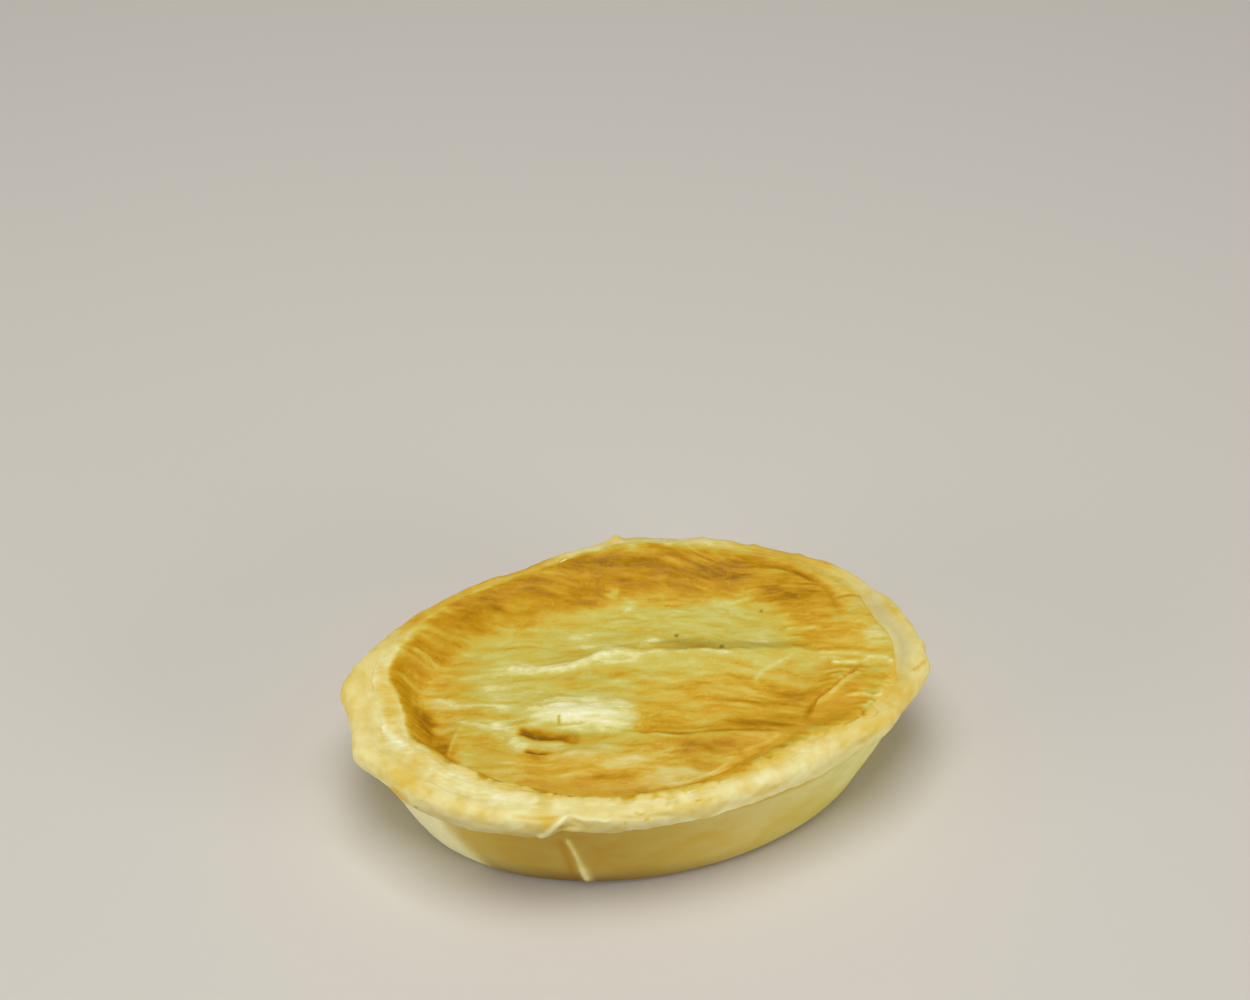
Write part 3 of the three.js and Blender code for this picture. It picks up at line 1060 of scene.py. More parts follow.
# Painted shade behind and below the ridge and below the slit, and burnt specks, of the lid, with how far in
# place of how far baked
LID_SHADE_AND_SPECKS = (
    Patch("painted shade behind the ridge", (17, 8.2), (8, 2), 0.34, 1.0, -9, 1.4, 0.4),
    Patch("long shade of the ridge", (28, 4), (14, 1.7), 0.2, 1.0, -6, 1.4, 0.4),
    Patch("shade below the crest", (-12, 6), (10, 1.2), 0.1, 1.0, 6, 1.6, 0.5),
    Patch("shade below the slit", (-15.6, -16), (11, 2.8), 0.08, 1.0, 2, 1.5, 0.5),
    Patch("first speck", (13.5, 13), (0.5, 0.5), 0.8, 1.0, 0, 1.0, 0.0),
    Patch("second speck", (22.8, 5.4), (0.8, 0.8), 0.75, 1.0, 0, 1.0, 0.0),
    Patch("third speck", (20.6, 8.6), (0.35, 0.35), 0.4, 1.0, 0, 1.0, 0.0),
    Patch("fourth speck", (35.4, 14), (0.4, 0.4), 0.7, 1.0, 0, 1.0, 0.0),
)

# Lines worked into the lid
LID_MARKS = (
    # the crest's pale line, its right half and low strand are partly pale dough and partly painted
    # highlight
    Mark(
        "pale crest of the long ridge with painted highlight",
        ((-33, 15.4), (-28, 14), (-21, 10.8), (-15, 8.9), (-9, 10.2), (-3, 10.6), (4, 9)),
        0.4, 1.5, bake=0.02, cover=0.85,
    ),
    Mark(
        "crest's right half", ((-6, 9.8), (0, 9.0), (10, 7), (18, 4.9), (26, 1.7), (34, -0.2)),
        0.35, 0.65, bake=0.1, cover=0.7, fade=0.3,
    ),
    Mark("crest's low strand", ((-12, 8.4), (-5, 8.2), (4, 7.2)), 0.2, 0.6, bake=0.08, cover=0.6),
    Mark(
        "crease behind the ridge",
        ((-1, 12.2), (6, 10.4), (15, 7.9), (22, 5.3), (33, 1.4)),
        -0.7, 0.6, bake=0.56, cover=0.6,
    ),
    Mark(
        "vent slit", ((-31.6, -6), (-28.6, -7.6), (-24.6, -9.6), (-20, -11.6), (-16.6, -12.8)),
        -0.9, 1.0, bake=0.97, cover=1.1, fade=0.14,
    ),
    Mark("slit's tail", ((-22, -10.8), (-16, -13), (-8, -14.8)), -0.5, 0.8, bake=0.62, cover=0.8, fade=0.3),
    Mark(
        "second slit", ((-31.4, -11.6), (-28.6, -13.2), (-24, -14.8)),
        -0.6, 0.5, bake=1.0, cover=1.1, fade=0.3,
    ),
    Mark(
        "flake by the slits", ((-34, -8.4), (-32.4, -10.4), (-30, -12.2)), 0.4, 1.2,
        Profile.LEFT_LEDGE, 0.06, 0.45,
    ),
    Mark("first crack of the mound", ((-20.6, -5.2), (-21.4, -8.4)), -0.3, 0.3, bake=0.62, cover=0.8),
    Mark(
        "second crack of the mound", ((-24.5, -6.6), (-20, -8.4), (-14.5, -9.4)),
        -0.3, 0.35, bake=0.5, cover=0.65,
    ),
    Mark("smudge of the mound", ((-25.5, -6.4), (-22.8, -7.6)), 0.0, 0.6, bake=0.44, cover=0.6),
    Mark(
        "front step",
        ((-4.5, -14.4), (0, -17.2), (5, -19.4), (13, -21), (24, -23.8), (32, -26.2)),
        0.7, 1.2, Profile.RIGHT_LEDGE, 0.36, 0.4, 0.12,
    ),
    Mark(
        "shadow line of the step",
        ((-5, -13.6), (0, -16.2), (6, -18.2), (14, -19.8), (24, -22.4), (31, -24.6)),
        -0.3, 0.5, bake=0.88, cover=0.7, fade=0.15,
    ),
    Mark("light line of the step", ((-2, -15.6), (2, -18.4), (7, -20.4)), 0.2, 0.5, bake=0.16, cover=0.75),
    Mark(
        "right fold",
        ((54, -10.8), (51.8, -12.4), (49.8, -14.8), (46.6, -15.4), (43.4, -17.8), (40.4, -18.2),
         (38, -21.4), (36.8, -22.4), (35.4, -25.2)),
        1.2, 3.0, Profile.LEFT_LEDGE, 0.5, 0.0, 0.25,
    ),
    Mark(
        "shadow of the fold",
        ((53.6, -10.6), (50.8, -12.2), (47.2, -14.4), (43, -16.4), (39, -18.2), (36.2, -21.4),
         (34.8, -24.6)),
        -0.6, 0.9, bake=0.92, cover=0.85, fade=0.25,
    ),
    Mark(
        "top of the fold", ((51, -14.4), (47.8, -16.2), (44.4, -18), (41.2, -19.6)),
        0.3, 0.7, bake=0.28, cover=0.75,
    ),
    Mark(
        "foot of the front slope",
        ((-40, -18), (-30, -24.2), (-15, -29.4), (-7, -32), (0, -33.6), (7, -34.4), (17, -32),
         (27, -28.6), (37, -25.6)),
        -0.4, 2.3, bake=0.56, cover=0.95, fade=0.1,
    ),
    Mark(
        "dark line of the front slope",
        ((-18, -28.6), (-7, -31.4), (0, -32.8), (7, -33.2), (17, -30.6), (27, -27)),
        -0.3, 0.5, bake=0.86, cover=0.7,
    ),
    Mark(
        "pale flake at the front", ((-4, -30.8), (3, -31.6), (9, -31), (16, -29)),
        0.35, 0.5, bake=0.16, cover=0.8,
    ),
    Mark(
        "second pale flake at the front", ((18, -27), (24, -26.6), (29, -25.4)),
        0.3, 0.5, bake=0.3, cover=0.6,
    ),
    Mark(
        "rim crease",
        ((34, 30.4), (39, 27.6), (44.1, 24.6), (47.4, 21.6), (50, 18.4), (52.2, 14.6), (52.8, 9), (53, 2)),
        -0.6, 1.0, bake=0.72, cover=0.9,
    ),
    Mark(
        "crack of the rim crease", ((36.6, 28.8), (42, 25.6), (45, 24), (48, 20.8), (50.4, 17.6)),
        -0.5, 0.35, bake=0.86, cover=0.85,
    ),
    Mark(
        "line between the right flaps", ((52.6, 11), (55.4, 10.9), (58.3, 10.5), (61, 10.2)),
        -0.4, 0.45, bake=0.72, cover=0.75,
    ),
    Mark("shadow of the right flaps", ((57, 13), (59.6, 9.4), (61, 5)), -0.2, 0.6, bake=0.6, cover=0.5),
    Mark(
        "low right flap", ((52.5, -11.2), (55.6, -10.7), (58.8, -12), (60.4, -14.4)), 0.4, 0.8,
        Profile.LEFT_LEDGE, 0.1, 0.75,
    ),
    Mark(
        "left vein",
        ((-58, 20), (-61, 16.6), (-63, 10.8), (-63.8, 4.8), (-62.8, -1.2), (-60, -7.8), (-56, -12)),
        -0.35, 1.0, bake=0.0, cover=0.9,
    ),
    Mark(
        "left crease", ((-42.5, 0.2), (-45.2, -3), (-47, -6), (-48.6, -9.5)),
        0.4, 0.6, bake=0.32, cover=0.75,
    ),
    Mark(
        "first wall wrinkle", ((-54.4, 14.7), (-52.2, 12.4), (-49.2, 10.2)),
        0.2, 0.5, bake=0.4, cover=0.7,
    ),
    Mark("second wall wrinkle", ((-54.6, 3), (-53.2, 8), (-52.4, 12)), 0.12, 0.45, bake=0.5, cover=0.6),
    Mark(
        "third wall wrinkle", ((-51, 20.6), (-47.1, 20.2), (-44.4, 17.4)),
        0.25, 0.5, bake=0.3, cover=0.75,
    ),
    Mark("fourth wall wrinkle", ((-53.4, 1.5), (-51.6, 6.5), (-50.6, 10)), 0.12, 0.4, bake=0.62, cover=0.6),
    Mark(
        "second floor wrinkle", ((-49.4, 10.3), (-46, 8.4), (-43.5, 6.6), (-39.7, 5), (-31, 2.4)), 0.3, 0.7,
        Profile.LEFT_LEDGE, 0.1, 0.8,
    ),
    Mark(
        "third floor wrinkle", ((-45.6, 8.8), (-43.3, 7), (-43.4, 4.8)),
        0.3, 0.5, Profile.LEFT_LEDGE, 0.16, 0.8,
    ),
    Mark(
        "fourth floor wrinkle", ((-45.1, 1.4), (-40.9, -0.4), (-37.6, -2.7), (-33.6, -4.8)), 0.35, 0.8,
        Profile.LEFT_LEDGE, 0.1, 0.85,
    ),
    Mark(
        "fifth floor wrinkle", ((-40.5, -1.8), (-37.5, -3.6), (-35.8, -6), (-34.6, -8.4)), 0.3, 0.7,
        Profile.LEFT_LEDGE, 0.18, 0.75,
    ),
    Mark(
        "sixth floor wrinkle", ((-42, 14), (-36, 14.2), (-30, 12.6)),
        0.2, 0.5, Profile.LEFT_LEDGE, 0.2, 0.6,
    ),
    Mark(
        "first right flake", ((35, -1.6), (39, -1.5), (43, -3.9), (47, -4.4)),
        0.3, 0.6, Profile.RIGHT_LEDGE, 0.16, 0.7,
    ),
    Mark("second right flake", ((38, 6.8), (43, 4.8), (48, 2.4)), 0.3, 0.6, Profile.LEFT_LEDGE, 0.18, 0.7),
    Mark(
        "third right flake", ((46, -7.4), (49, -9.2), (52.6, -11.2)),
        0.35, 0.55, Profile.LEFT_LEDGE, 0.04, 0.9,
    ),
    Mark("fourth right flake", ((44, -3.8), (49, -6), (54, -8.6)), 0.3, 0.5, Profile.LEFT_LEDGE, 0.16, 0.7),
    Mark(
        "crinkle of the fold", ((43.4, -9.4), (47.4, -10.4), (50.6, -12.6)),
        0.3, 0.4, bake=0.2, cover=0.7,
    ),
    Mark("second crinkle", ((44.6, -11.4), (47.4, -12), (49.4, -13.4)), 0.3, 0.35, bake=0.22, cover=0.7),
    Mark("third crinkle", ((41, -12.4), (44.2, -13), (46.4, -14.2)), 0.25, 0.35, bake=0.26, cover=0.6),
    Mark(
        "squiggle of the fold", ((46.6, -11.8), (47.6, -13.6), (50.4, -14.6), (51, -16)),
        0.3, 0.45, bake=0.2, cover=0.7,
    ),
    Mark(
        "edge of the light corner", ((27.2, -7.6), (28.4, -6), (30.4, -4.4), (34.2, -3.7), (40.2, -2.8)),
        0.35, 0.7, Profile.RIGHT_LEDGE, 0.16, 0.8,
    ),
    Mark(
        "flake at the back", ((23.7, 21.6), (28.9, 19.4), (35, 18.2)),
        0.3, 0.6, Profile.LEFT_LEDGE, 0.14, 0.75,
    ),
    Mark(
        "squiggle at the back", ((26, 18), (27.4, 17), (27.2, 15.8), (25.8, 15.6)),
        0.2, 0.35, bake=0.5, cover=0.5,
    ),
    Mark(
        "first line before the lump", ((44, -20.8), (49.8, -21.9), (53, -23), (55, -21.6)),
        0.3, 0.5, Profile.LEFT_LEDGE, 0.12, 0.75,
    ),
    Mark(
        "second line before the lump", ((45, -23.2), (48.6, -24), (50, -25)),
        -0.3, 0.5, bake=0.72, cover=0.7,
    ),
    Mark("pit by the lump", ((47.6, -28.4), (48.2, -26.6)), -0.5, 0.5, bake=0.86, cover=0.8),
    Mark(
        "orange line at the back", ((-11, 38.8), (-3, 37.2), (4, 35.4), (11, 34.2), (18, 32), (23, 30.4)),
        -0.35, 0.7, bake=0.82, cover=0.75,
    ),
)


@dataclass
class PuffLid:
    """The sunken lid: a fine sheet drawn onto the lid's solid, with a thin cut edge and its underside.

    Attributes:
        node: the solid it stands for.
        spans: faces of the sheet along and across the pie.
        margin: the sheet's edge where it is joined to the case, as a share of the solid's.
        free_margin: the same where the edge stands free.
        edge_steps: growth of the cut edge and its drop, from the sheet outwards and under.
        under_shares: rings of the hidden underside, as shares of the edge.
        rim_width: the rim's top, from its outer edge to the brink of the recess.
        slope: the recess's inner slope.
        swells: where the rim is wider or narrower.
        slope_bake: how far the slope is baked.
        fringe_bake: how far the rim's front is baked along its brink.
        fringe_cover: how strongly that shows.
        floor_bake: how far the floor is baked outside its patches.
        floor_height: height of the floor's middle.
        front_full: how far before the middle the pie's front is full.
        crumb_start, fringe_start, strand_start: how far before it the crumbs, the browned brink and the
            stronger strands set in.
        rim_zone: where the rim's warm colours end, as shares of the way from rim to floor.
        fringe_zone, slope_zone, floor_zone: where the brink's, the slope's and the floor's baking sets in.
        patch_zone, relief_zone: where the patches and streaks, and the lid's own relief, set in.
        brink_reach: how far the crumbs reach to each side of the brink.
        stretch_zone, dip_zone: where the edge is stretched and where it dips, past the line on the rim.
        blend: half the width over which the sheet runs into the rim.
        climb: where the right end climbs, from the middle.
        wrinkles: fine wrinkles along the streaks.
        lumps: low lumps.
        crumbs: what crumbles the brink at the front.
        waver: how the streaks waver, along and across.
        feather: how far the streaks draw the edges of areas out, along and across.
        rag: what frays the brink's colours.
        strands: fine streaks of baking.
        front_strands: how much stronger they are at the front.
        blotches: broad streaks of baking.
        floor_blotches: how much stronger they are on the floor.
        flakes: pale flakes between the streaks.
        rough: what breaks up the marks.
        smoothness: how far the smooth slope goes without streaks.
    """

    node: str = "pastry_lid"
    spans: tuple[int, int] = (352, 220)
    margin: float = 1.004
    free_margin: float = 0.991
    edge_steps: tuple[Point, ...] = ((1.002, 0.06), (1.001, 0.3), (0.99, 1.2), (0.96, 0.3))
    under_shares: tuple[float, ...] = (0.93, 0.88, 0.84, 0.8, 0.76, 0.7, 0.5, 0.25)
    rim_width: Sides = Sides(right=8.0, back=3.4, left=12.8, front=6.2)
    slope: Sides = Sides(right=20.0, back=15.0, left=7.0, front=5.0)
    swells: tuple[Swell, ...] = (
        Swell(-143, 11, 3.0),
        Swell(-127, 9, 2.2),
        Swell(-84, 14, -1.5),
        Swell(-42, 8, -2.4),
        Swell(138, 20, -3.2),
    )
    slope_bake: Sides = Sides(right=0.5, back=0.74, left=0.63, front=0.62)
    fringe_bake: float = 0.42
    fringe_cover: float = 0.75
    floor_bake: float = 0.4
    floor_height: float = 23.0
    front_full: float = 20.0
    crumb_start: float = 8.0
    fringe_start: float = 5.0
    strand_start: float = 14.0
    rim_zone: Point = (0.12, -0.06)
    fringe_zone: Point = (-0.5, 0.0)
    slope_zone: Point = (-0.06, 0.24)
    floor_zone: Point = (0.7, 1.1)
    patch_zone: Point = (-0.04, 0.1)
    relief_zone: Point = (-0.1, 0.5)
    brink_reach: float = 0.18
    stretch_zone: Point = (-3.5, -0.4)
    dip_zone: Point = (-0.6, 0.2)
    blend: float = 0.4
    climb: Point = (15.0, 35.0)
    wrinkles: Grain = Grain((7.0, 1.9), 3, 4.0, 0.12)
    lumps: Grain = Grain((6.0, 3.6), 4, 2.0, 0.34)
    crumbs: Grain = Grain((4.0, 4.0), 3, 21.0, 0.4)
    waver: tuple[Grain, Grain] = (Grain((14.0, 9.0), 2, 14.0, 2.5), Grain((10.0, 7.0), 2, 15.0))
    feather: tuple[Grain, Grain] = (Grain((14.0, 1.1), 3, 6.0, 4.0), Grain((5.0, 3.0), 3, 8.0, 0.9))
    rag: Grain = Grain((7.0, 2.6), 3, 5.0, 0.1)
    strands: Grain = Grain((8.0, 1.2), 4, 7.0, 0.15)
    front_strands: float = 0.07
    blotches: Grain = Grain((9.0, 2.2), 5, 10.0, 0.14)
    floor_blotches: float = 0.06
    flakes: Grain = Grain((6.0, 1.6), 3, 16.0, 0.14)
    rough: Grain = Grain((2.4, 1.2), 3, 17.0, 0.4)
    smoothness: float = 0.8

    def build(self, form: SmoothForm, join: RimJoin) -> Piece:
        """Makes the lid.

        Args:
            form: the lid's smoothed solid.
            join: where the lid lies on the rim.

        Returns:
            The finished piece.
        """
        piece = self.sheet(form, join)
        self.close(piece, form)
        corners = Corners(piece)
        sunk = self.sunk(corners, join)
        self.work(corners, sunk, join)
        corners.paint("bake", self.baking(corners, sunk))
        corners.paint("crust", np.maximum(ease(sunk, *self.rim_zone), self.spread(corners, LID_WARMTH)))
        # painted shade and burnt specks of the lid
        corners.paint("char_and_shade", self.spread(corners, LID_SHADE_AND_SPECKS))
        return piece

    def sheet(self, form: SmoothForm, join: RimJoin) -> Piece:
        """A fine grid, rounded to the lid's outline, drawn down onto its form and run into the rim.

        Args:
            form: the lid's smoothed solid.
            join: where the lid lies on the rim.

        Returns:
            The open sheet.
        """
        columns, rows = self.spans
        bpy.ops.object.select_all(action="DESELECT")
        bpy.ops.mesh.primitive_grid_add(x_subdivisions=columns, y_subdivisions=rows, size=2.0)
        piece = bpy.context.object
        piece.name = "puff_pastry_lid"
        piece.data.name = piece.name
        corners = Corners(piece)
        u, v = corners.plan.T * MM
        round_x = u * np.sqrt(1.0 - v * v / 2.0)
        round_y = v * np.sqrt(1.0 - u * u / 2.0)
        bearing = np.arctan2(round_y * RIM_HALF[1], round_x * RIM_HALF[0])
        reach = np.hypot(round_x, round_y) * form.outline(bearing) * self.free_margin
        corners.places[:, :2] = np.column_stack([np.cos(bearing) * reach, np.sin(bearing) * reach])
        corners.places[:, 2] = CLEAR_ABOVE
        corners.store()
        finish_with(
            piece, "SHRINKWRAP", target=form.piece, wrap_method="PROJECT",
            use_project_z=True, use_negative_direction=True, use_positive_direction=False,
        )
        self.meet(piece, join)
        return piece

    def meet(self, piece: Piece, join: RimJoin) -> None:
        """Stretches the sheet's edge out to the line on the rim and runs it into the rim's top.

        Args:
            piece: the open sheet.
            join: where the lid lies on the rim.
        """
        corners = Corners(piece)
        held = 1.0 - join.freedom(corners.plan)
        growth = self.margin / self.free_margin - 1.0
        stretch = growth * held * ease(join.past(corners.plan), *self.stretch_zone)
        corners.places[:, :2] *= 1.0 + stretch[:, None]
        past = join.past(corners.plan)
        joined = join.level(corners.plan) - join.dip * ease(past, *self.dip_zone)
        share = ease(past, -join.inside - self.blend, -join.inside + self.blend) * held
        corners.places[:, 2] = mix(corners.places[:, 2], joined, share)
        corners.store()

    def close(self, piece: Piece, form: SmoothForm) -> None:
        """Adds the cut edge and the underside.

        Args:
            piece: the open sheet.
            form: the lid's smoothed solid.
        """
        with editing(piece):
            bpy.ops.mesh.select_non_manifold()
            for growth, drop in self.edge_steps:
                extrude_scaled((growth, growth), -drop)
        edge_count = len(piece.data.vertices)
        with editing(piece):
            bpy.ops.mesh.select_non_manifold()
            for last, share in zip((1.0, *self.under_shares), self.under_shares):
                extrude_scaled((share / last, share / last))
        corners = Corners(piece)
        corners.places[edge_count:, 2] = 0.0
        corners.store()
        under = piece.vertex_groups.new(name="under")
        under.add(list(range(edge_count, len(piece.data.vertices))), 1.0, "REPLACE")
        finish_with(
            piece, "SHRINKWRAP", target=form.piece, wrap_method="PROJECT", vertex_group="under",
            use_project_z=True, use_negative_direction=False, use_positive_direction=True,
        )
        piece.vertex_groups.clear()
        with editing(piece):
            bpy.ops.mesh.select_non_manifold()
            bpy.ops.mesh.merge(type="CENTER")
            face_outwards()

    def sunk(self, corners: Corners, join: RimJoin) -> Values:
        """How far corners have come from the rim down to the floor.

        Args:
            corners: the lid's corners.
            join: where the lid lies on the rim.

        Returns:
            One share for each corner: 0 on the rim's brink, 1 on the floor, below 0 on the rim.
        """
        bearing = corners.bearing
        brink = self.rim_width.at(bearing) + sum(swell.amount(bearing) for swell in self.swells)
        return (join.inset(corners.plan) - brink) / self.slope.at(bearing)

    def front(self, plan: Values, start: float) -> Values:
        """How far places belong to the pie's front, which starts so far before its middle."""
        return ease(-plan[:, 1], start, self.front_full)

    def crumbled(self, plan: Values) -> Values:
        """The crumbs of the brink, from pits, -1, to crumbs, 1."""
        return np.tanh(3.0 * self.crumbs.pattern(plan))

    def along(self, corners: Corners) -> Values:
        """Places along and across the streaks, which waver, and bend down where the right end climbs.

        Args:
            corners: the lid's corners.

        Returns:
            One row of two distances for each corner.
        """
        straight = turned(corners.plan, STREAKS)
        straight[:, 1] += (corners.places[:, 2] - self.floor_height) * ease(corners.plan[:, 0], *self.climb)
        return straight + np.stack([waver.at(straight) for waver in self.waver], 1)

    def feathers(self, along: Values) -> Values:
        """How far the streaks draw the edges of areas out, by places along and across them."""
        moved = np.stack([feather.at(along) for feather in self.feather], 1)
        return turned(moved, -STREAKS)

    def work(self, corners: Corners, sunk: Values, join: RimJoin) -> None:
        """Presses the marks, wrinkles and lumps into the sheet.

        Args:
            corners: the lid's corners.
            sunk: how far each is from rim to floor.
            join: where the lid lies on the rim.
        """
        plan = corners.plan.copy()
        upward = ease(corners.normals()[:, 2], 0.1, 0.4)
        along = self.along(corners)
        inside = ease(sunk, *self.relief_zone)
        relief = sum(mark.relief(plan) for mark in LID_MARKS if mark.height)
        relief = relief + inside * (self.wrinkles.ridges(along) + self.lumps.at(along))
        relief = relief + (1.0 - inside) * RIM.relief(plan, join.inset(plan))
        brink = self.front(plan, self.crumb_start) * bell(sunk / self.brink_reach)
        corners.press(upward * (relief + self.crumbs.amount * brink * self.crumbled(plan)))

    def baking(self, corners: Corners, sunk: Values) -> Values:
        """How far each place is baked: the ground, then the patches, the streaks and the marks.

        Args:
            corners: the lid's corners.
            sunk: how far each is from rim to floor.

        Returns:
            One value for each corner, 0 for cream to 1 for dark.
        """
        plan = corners.plan
        along = self.along(corners)
        feathers = self.feathers(along)
        crumbs = self.rag.amount * self.crumbled(plan) * self.front(plan, self.crumb_start)
        ragged = sunk + self.rag.at(along) - crumbs
        inside = ease(ragged, *self.patch_zone)
        bake = self.ground(corners, ragged)
        for patch in LID_PATCHES:
            bake = mix(bake, patch.bake, patch.weight(plan, feathers) * inside)
        change = inside * self.streaking(plan, along, ragged)
        change = change * (1.0 - self.smoothness * SMOOTH_SLOPE.weight(plan, feathers))
        lighter = change * np.clip(bake / 0.5, 0.2, 1.0)
        darker = change * ease(bake, -0.2, 0.2) * np.clip((1.0 - bake) / 0.5, 0.25, 1.0)
        bake = bake + np.where(change < 0.0, lighter, darker)
        rough = MARK_STRENGTH + self.rough.at(along)
        for mark in LID_MARKS:
            if mark.cover:
                bake = mix(bake, mark.bake, mark.tint(plan, rough))
        return np.clip(bake, 0.0, 1.0)

    def ground(self, corners: Corners, ragged: Values) -> Values:
        """How far the rim, its brink, the slope and the floor are baked.

        Args:
            corners: the lid's corners.
            ragged: how far each is from rim to floor, frayed.

        Returns:
            One value for each corner.
        """
        front = self.front(corners.plan, self.fringe_start)
        fringe = self.fringe_cover * ease(ragged, *self.fringe_zone) * front
        bake = mix(RIM.tone(corners.places), self.fringe_bake, fringe)
        bake = mix(bake, self.slope_bake.at(corners.bearing), ease(ragged, *self.slope_zone))
        return mix(bake, self.floor_bake, ease(ragged, *self.floor_zone))

    def streaking(self, plan: Values, along: Values, ragged: Values) -> Values:
        """How much the streaks of the dough change the baking.

        Args:
            plan: rows of x and y.
            along: the same places along and across the streaks.
            ragged: how far each is from rim to floor, frayed.

        Returns:
            One change for each place, below 0 for lighter.
        """
        front = self.front(plan, self.strand_start)
        blotches = (1.0 - 0.5 * front) * self.blotches.pattern(along)
        flakes = ease(np.abs(self.flakes.pattern(along)), 0.08, 0.0) * ease(blotches, -0.1, 0.4)
        strand_bake = self.strands.amount + self.front_strands * front
        blotch_bake = self.blotches.amount + self.floor_blotches * ease(ragged, 0.4, 1.0)
        streaks = strand_bake * self.strands.pattern(along) + blotch_bake * blotches
        return streaks - self.flakes.amount * flakes

    def spread(self, corners: Corners, patches: tuple[Patch, ...]) -> Values:
        """The strongest of some areas at each corner, with how far in place of how far baked."""
        feathers = self.feathers(self.along(corners))
        return np.max([patch.bake * patch.weight(corners.plan, feathers) for patch in patches], axis=0)


DEGREE = 1.15  # millimetres of the wall's round to a degree of oval bearing


def on_wall(*points: Point) -> tuple[Point, ...]:
    """Points given by oval bearing and height, as places on the unrolled wall."""
    return tuple((bearing * DEGREE, height) for bearing, height in points)


# Lines worked into the case's wall and lip, by oval bearing, and by the way up it and in over the lip
# painted light on the pleat's pale face, which faces the light
PAINTED_PLEAT_LIGHT = (
    Mark(
        "painted light of the pleat", on_wall((-113.6, 22), (-112, 17), (-110.9, 11), (-110.2, 1)), 0.0, 0.6,
        bake=0.12, cover=0.85, fade=0.12,
    ),
    Mark(
        "painted light at the foot of the pleat", on_wall((-111.6, 14), (-110.6, 9), (-110, 4), (-109.6, -1)), 0.2, 1.2,
        bake=0.1, cover=0.9, fade=0.4,
    ),
)
CASE_MARKS = (
    *PAINTED_PLEAT_LIGHT,
    Mark(
        "shade of the pleat", on_wall((-115.4, 21.6), (-113.9, 14), (-112.8, 1)), 0.0, 1.2,
        bake=0.74, cover=0.5, fade=0.1,
    ),
    Mark(
        "pleat", on_wall((-114, 21.8), (-112.4, 15), (-111.2, 7), (-110.8, -1)), 0.7, 1.8,
        Profile.LEFT_LEDGE, 0.2, 0.0, 0.1,
    ),
    Mark(
        "front crack", on_wall((-100.2, 31.4), (-98.8, 30.3), (-97.6, 30.7)),
        -0.4, 0.3, bake=0.7, cover=0.6,
    ),
    Mark("second crack", on_wall((-88, 31.2), (-86.4, 31.5)), -0.4, 0.25, bake=0.7, cover=0.5),
    Mark("right crack", on_wall((-22.5, 33.4), (-19.6, 31.4), (-17, 29.3)), -0.5, 0.5, bake=0.6, cover=0.6),
    Mark("corner fold", on_wall((-139.5, 26), (-145.3, 13.2), (-150, 0)), 0.35, 2.2, fade=0.15),
    Mark(
        "flap's left edge",
        on_wall((-119, 24.8), (-116.8, 25.7), (-115.8, 27.1), (-114.2, 29.5), (-113.4, 31), (-112.6, 32.5)),
        0.9, 0.7, bake=0.02, cover=0.85, fade=0.12,
    ),
    Mark(
        "flap's right edge",
        on_wall((-112.6, 32.5), (-110.8, 31.1), (-108.1, 29.8), (-106.1, 29.3), (-103.6, 29.9)),
        0.6, 0.6, bake=0.04, cover=0.75, fade=0.15,
    ),
    Mark(
        "crease left of the flap",
        on_wall((-125, 31.8), (-120.5, 31.3), (-118.1, 31), (-116.1, 31.1), (-113.6, 31.8)),
        -0.4, 0.6, bake=0.48, cover=0.55,
    ),
    # painted shade in the hollow under the flap
    Mark(
        "painted shade in the hollow of the flap", on_wall((-115, 27.2), (-112.5, 27.8), (-109.9, 27.5), (-106.6, 27.5)),
        -0.7, 1.1, bake=0.42, cover=0.5,
    ),
    Mark(
        "inside of the flap", on_wall((-112.4, 30), (-110.4, 29.2), (-108.4, 28.6)),
        -0.5, 0.8, bake=0.4, cover=0.5,
    ),
    Mark(
        "far crease", on_wall((-104, 30.8), (-98.6, 29.4), (-94.9, 29.2), (-91, 26.9)), -0.35, 0.5,
        bake=0.42, cover=0.5,
    ),
    Mark("first speck", on_wall((-101.8, 27.9), (-101.2, 28)), -0.3, 0.35, bake=0.8, cover=0.8, fade=0.01),
    Mark("second speck", on_wall((-97.8, 28.4), (-97.2, 28.4)), -0.3, 0.3, bake=0.8, cover=0.7, fade=0.01),
)


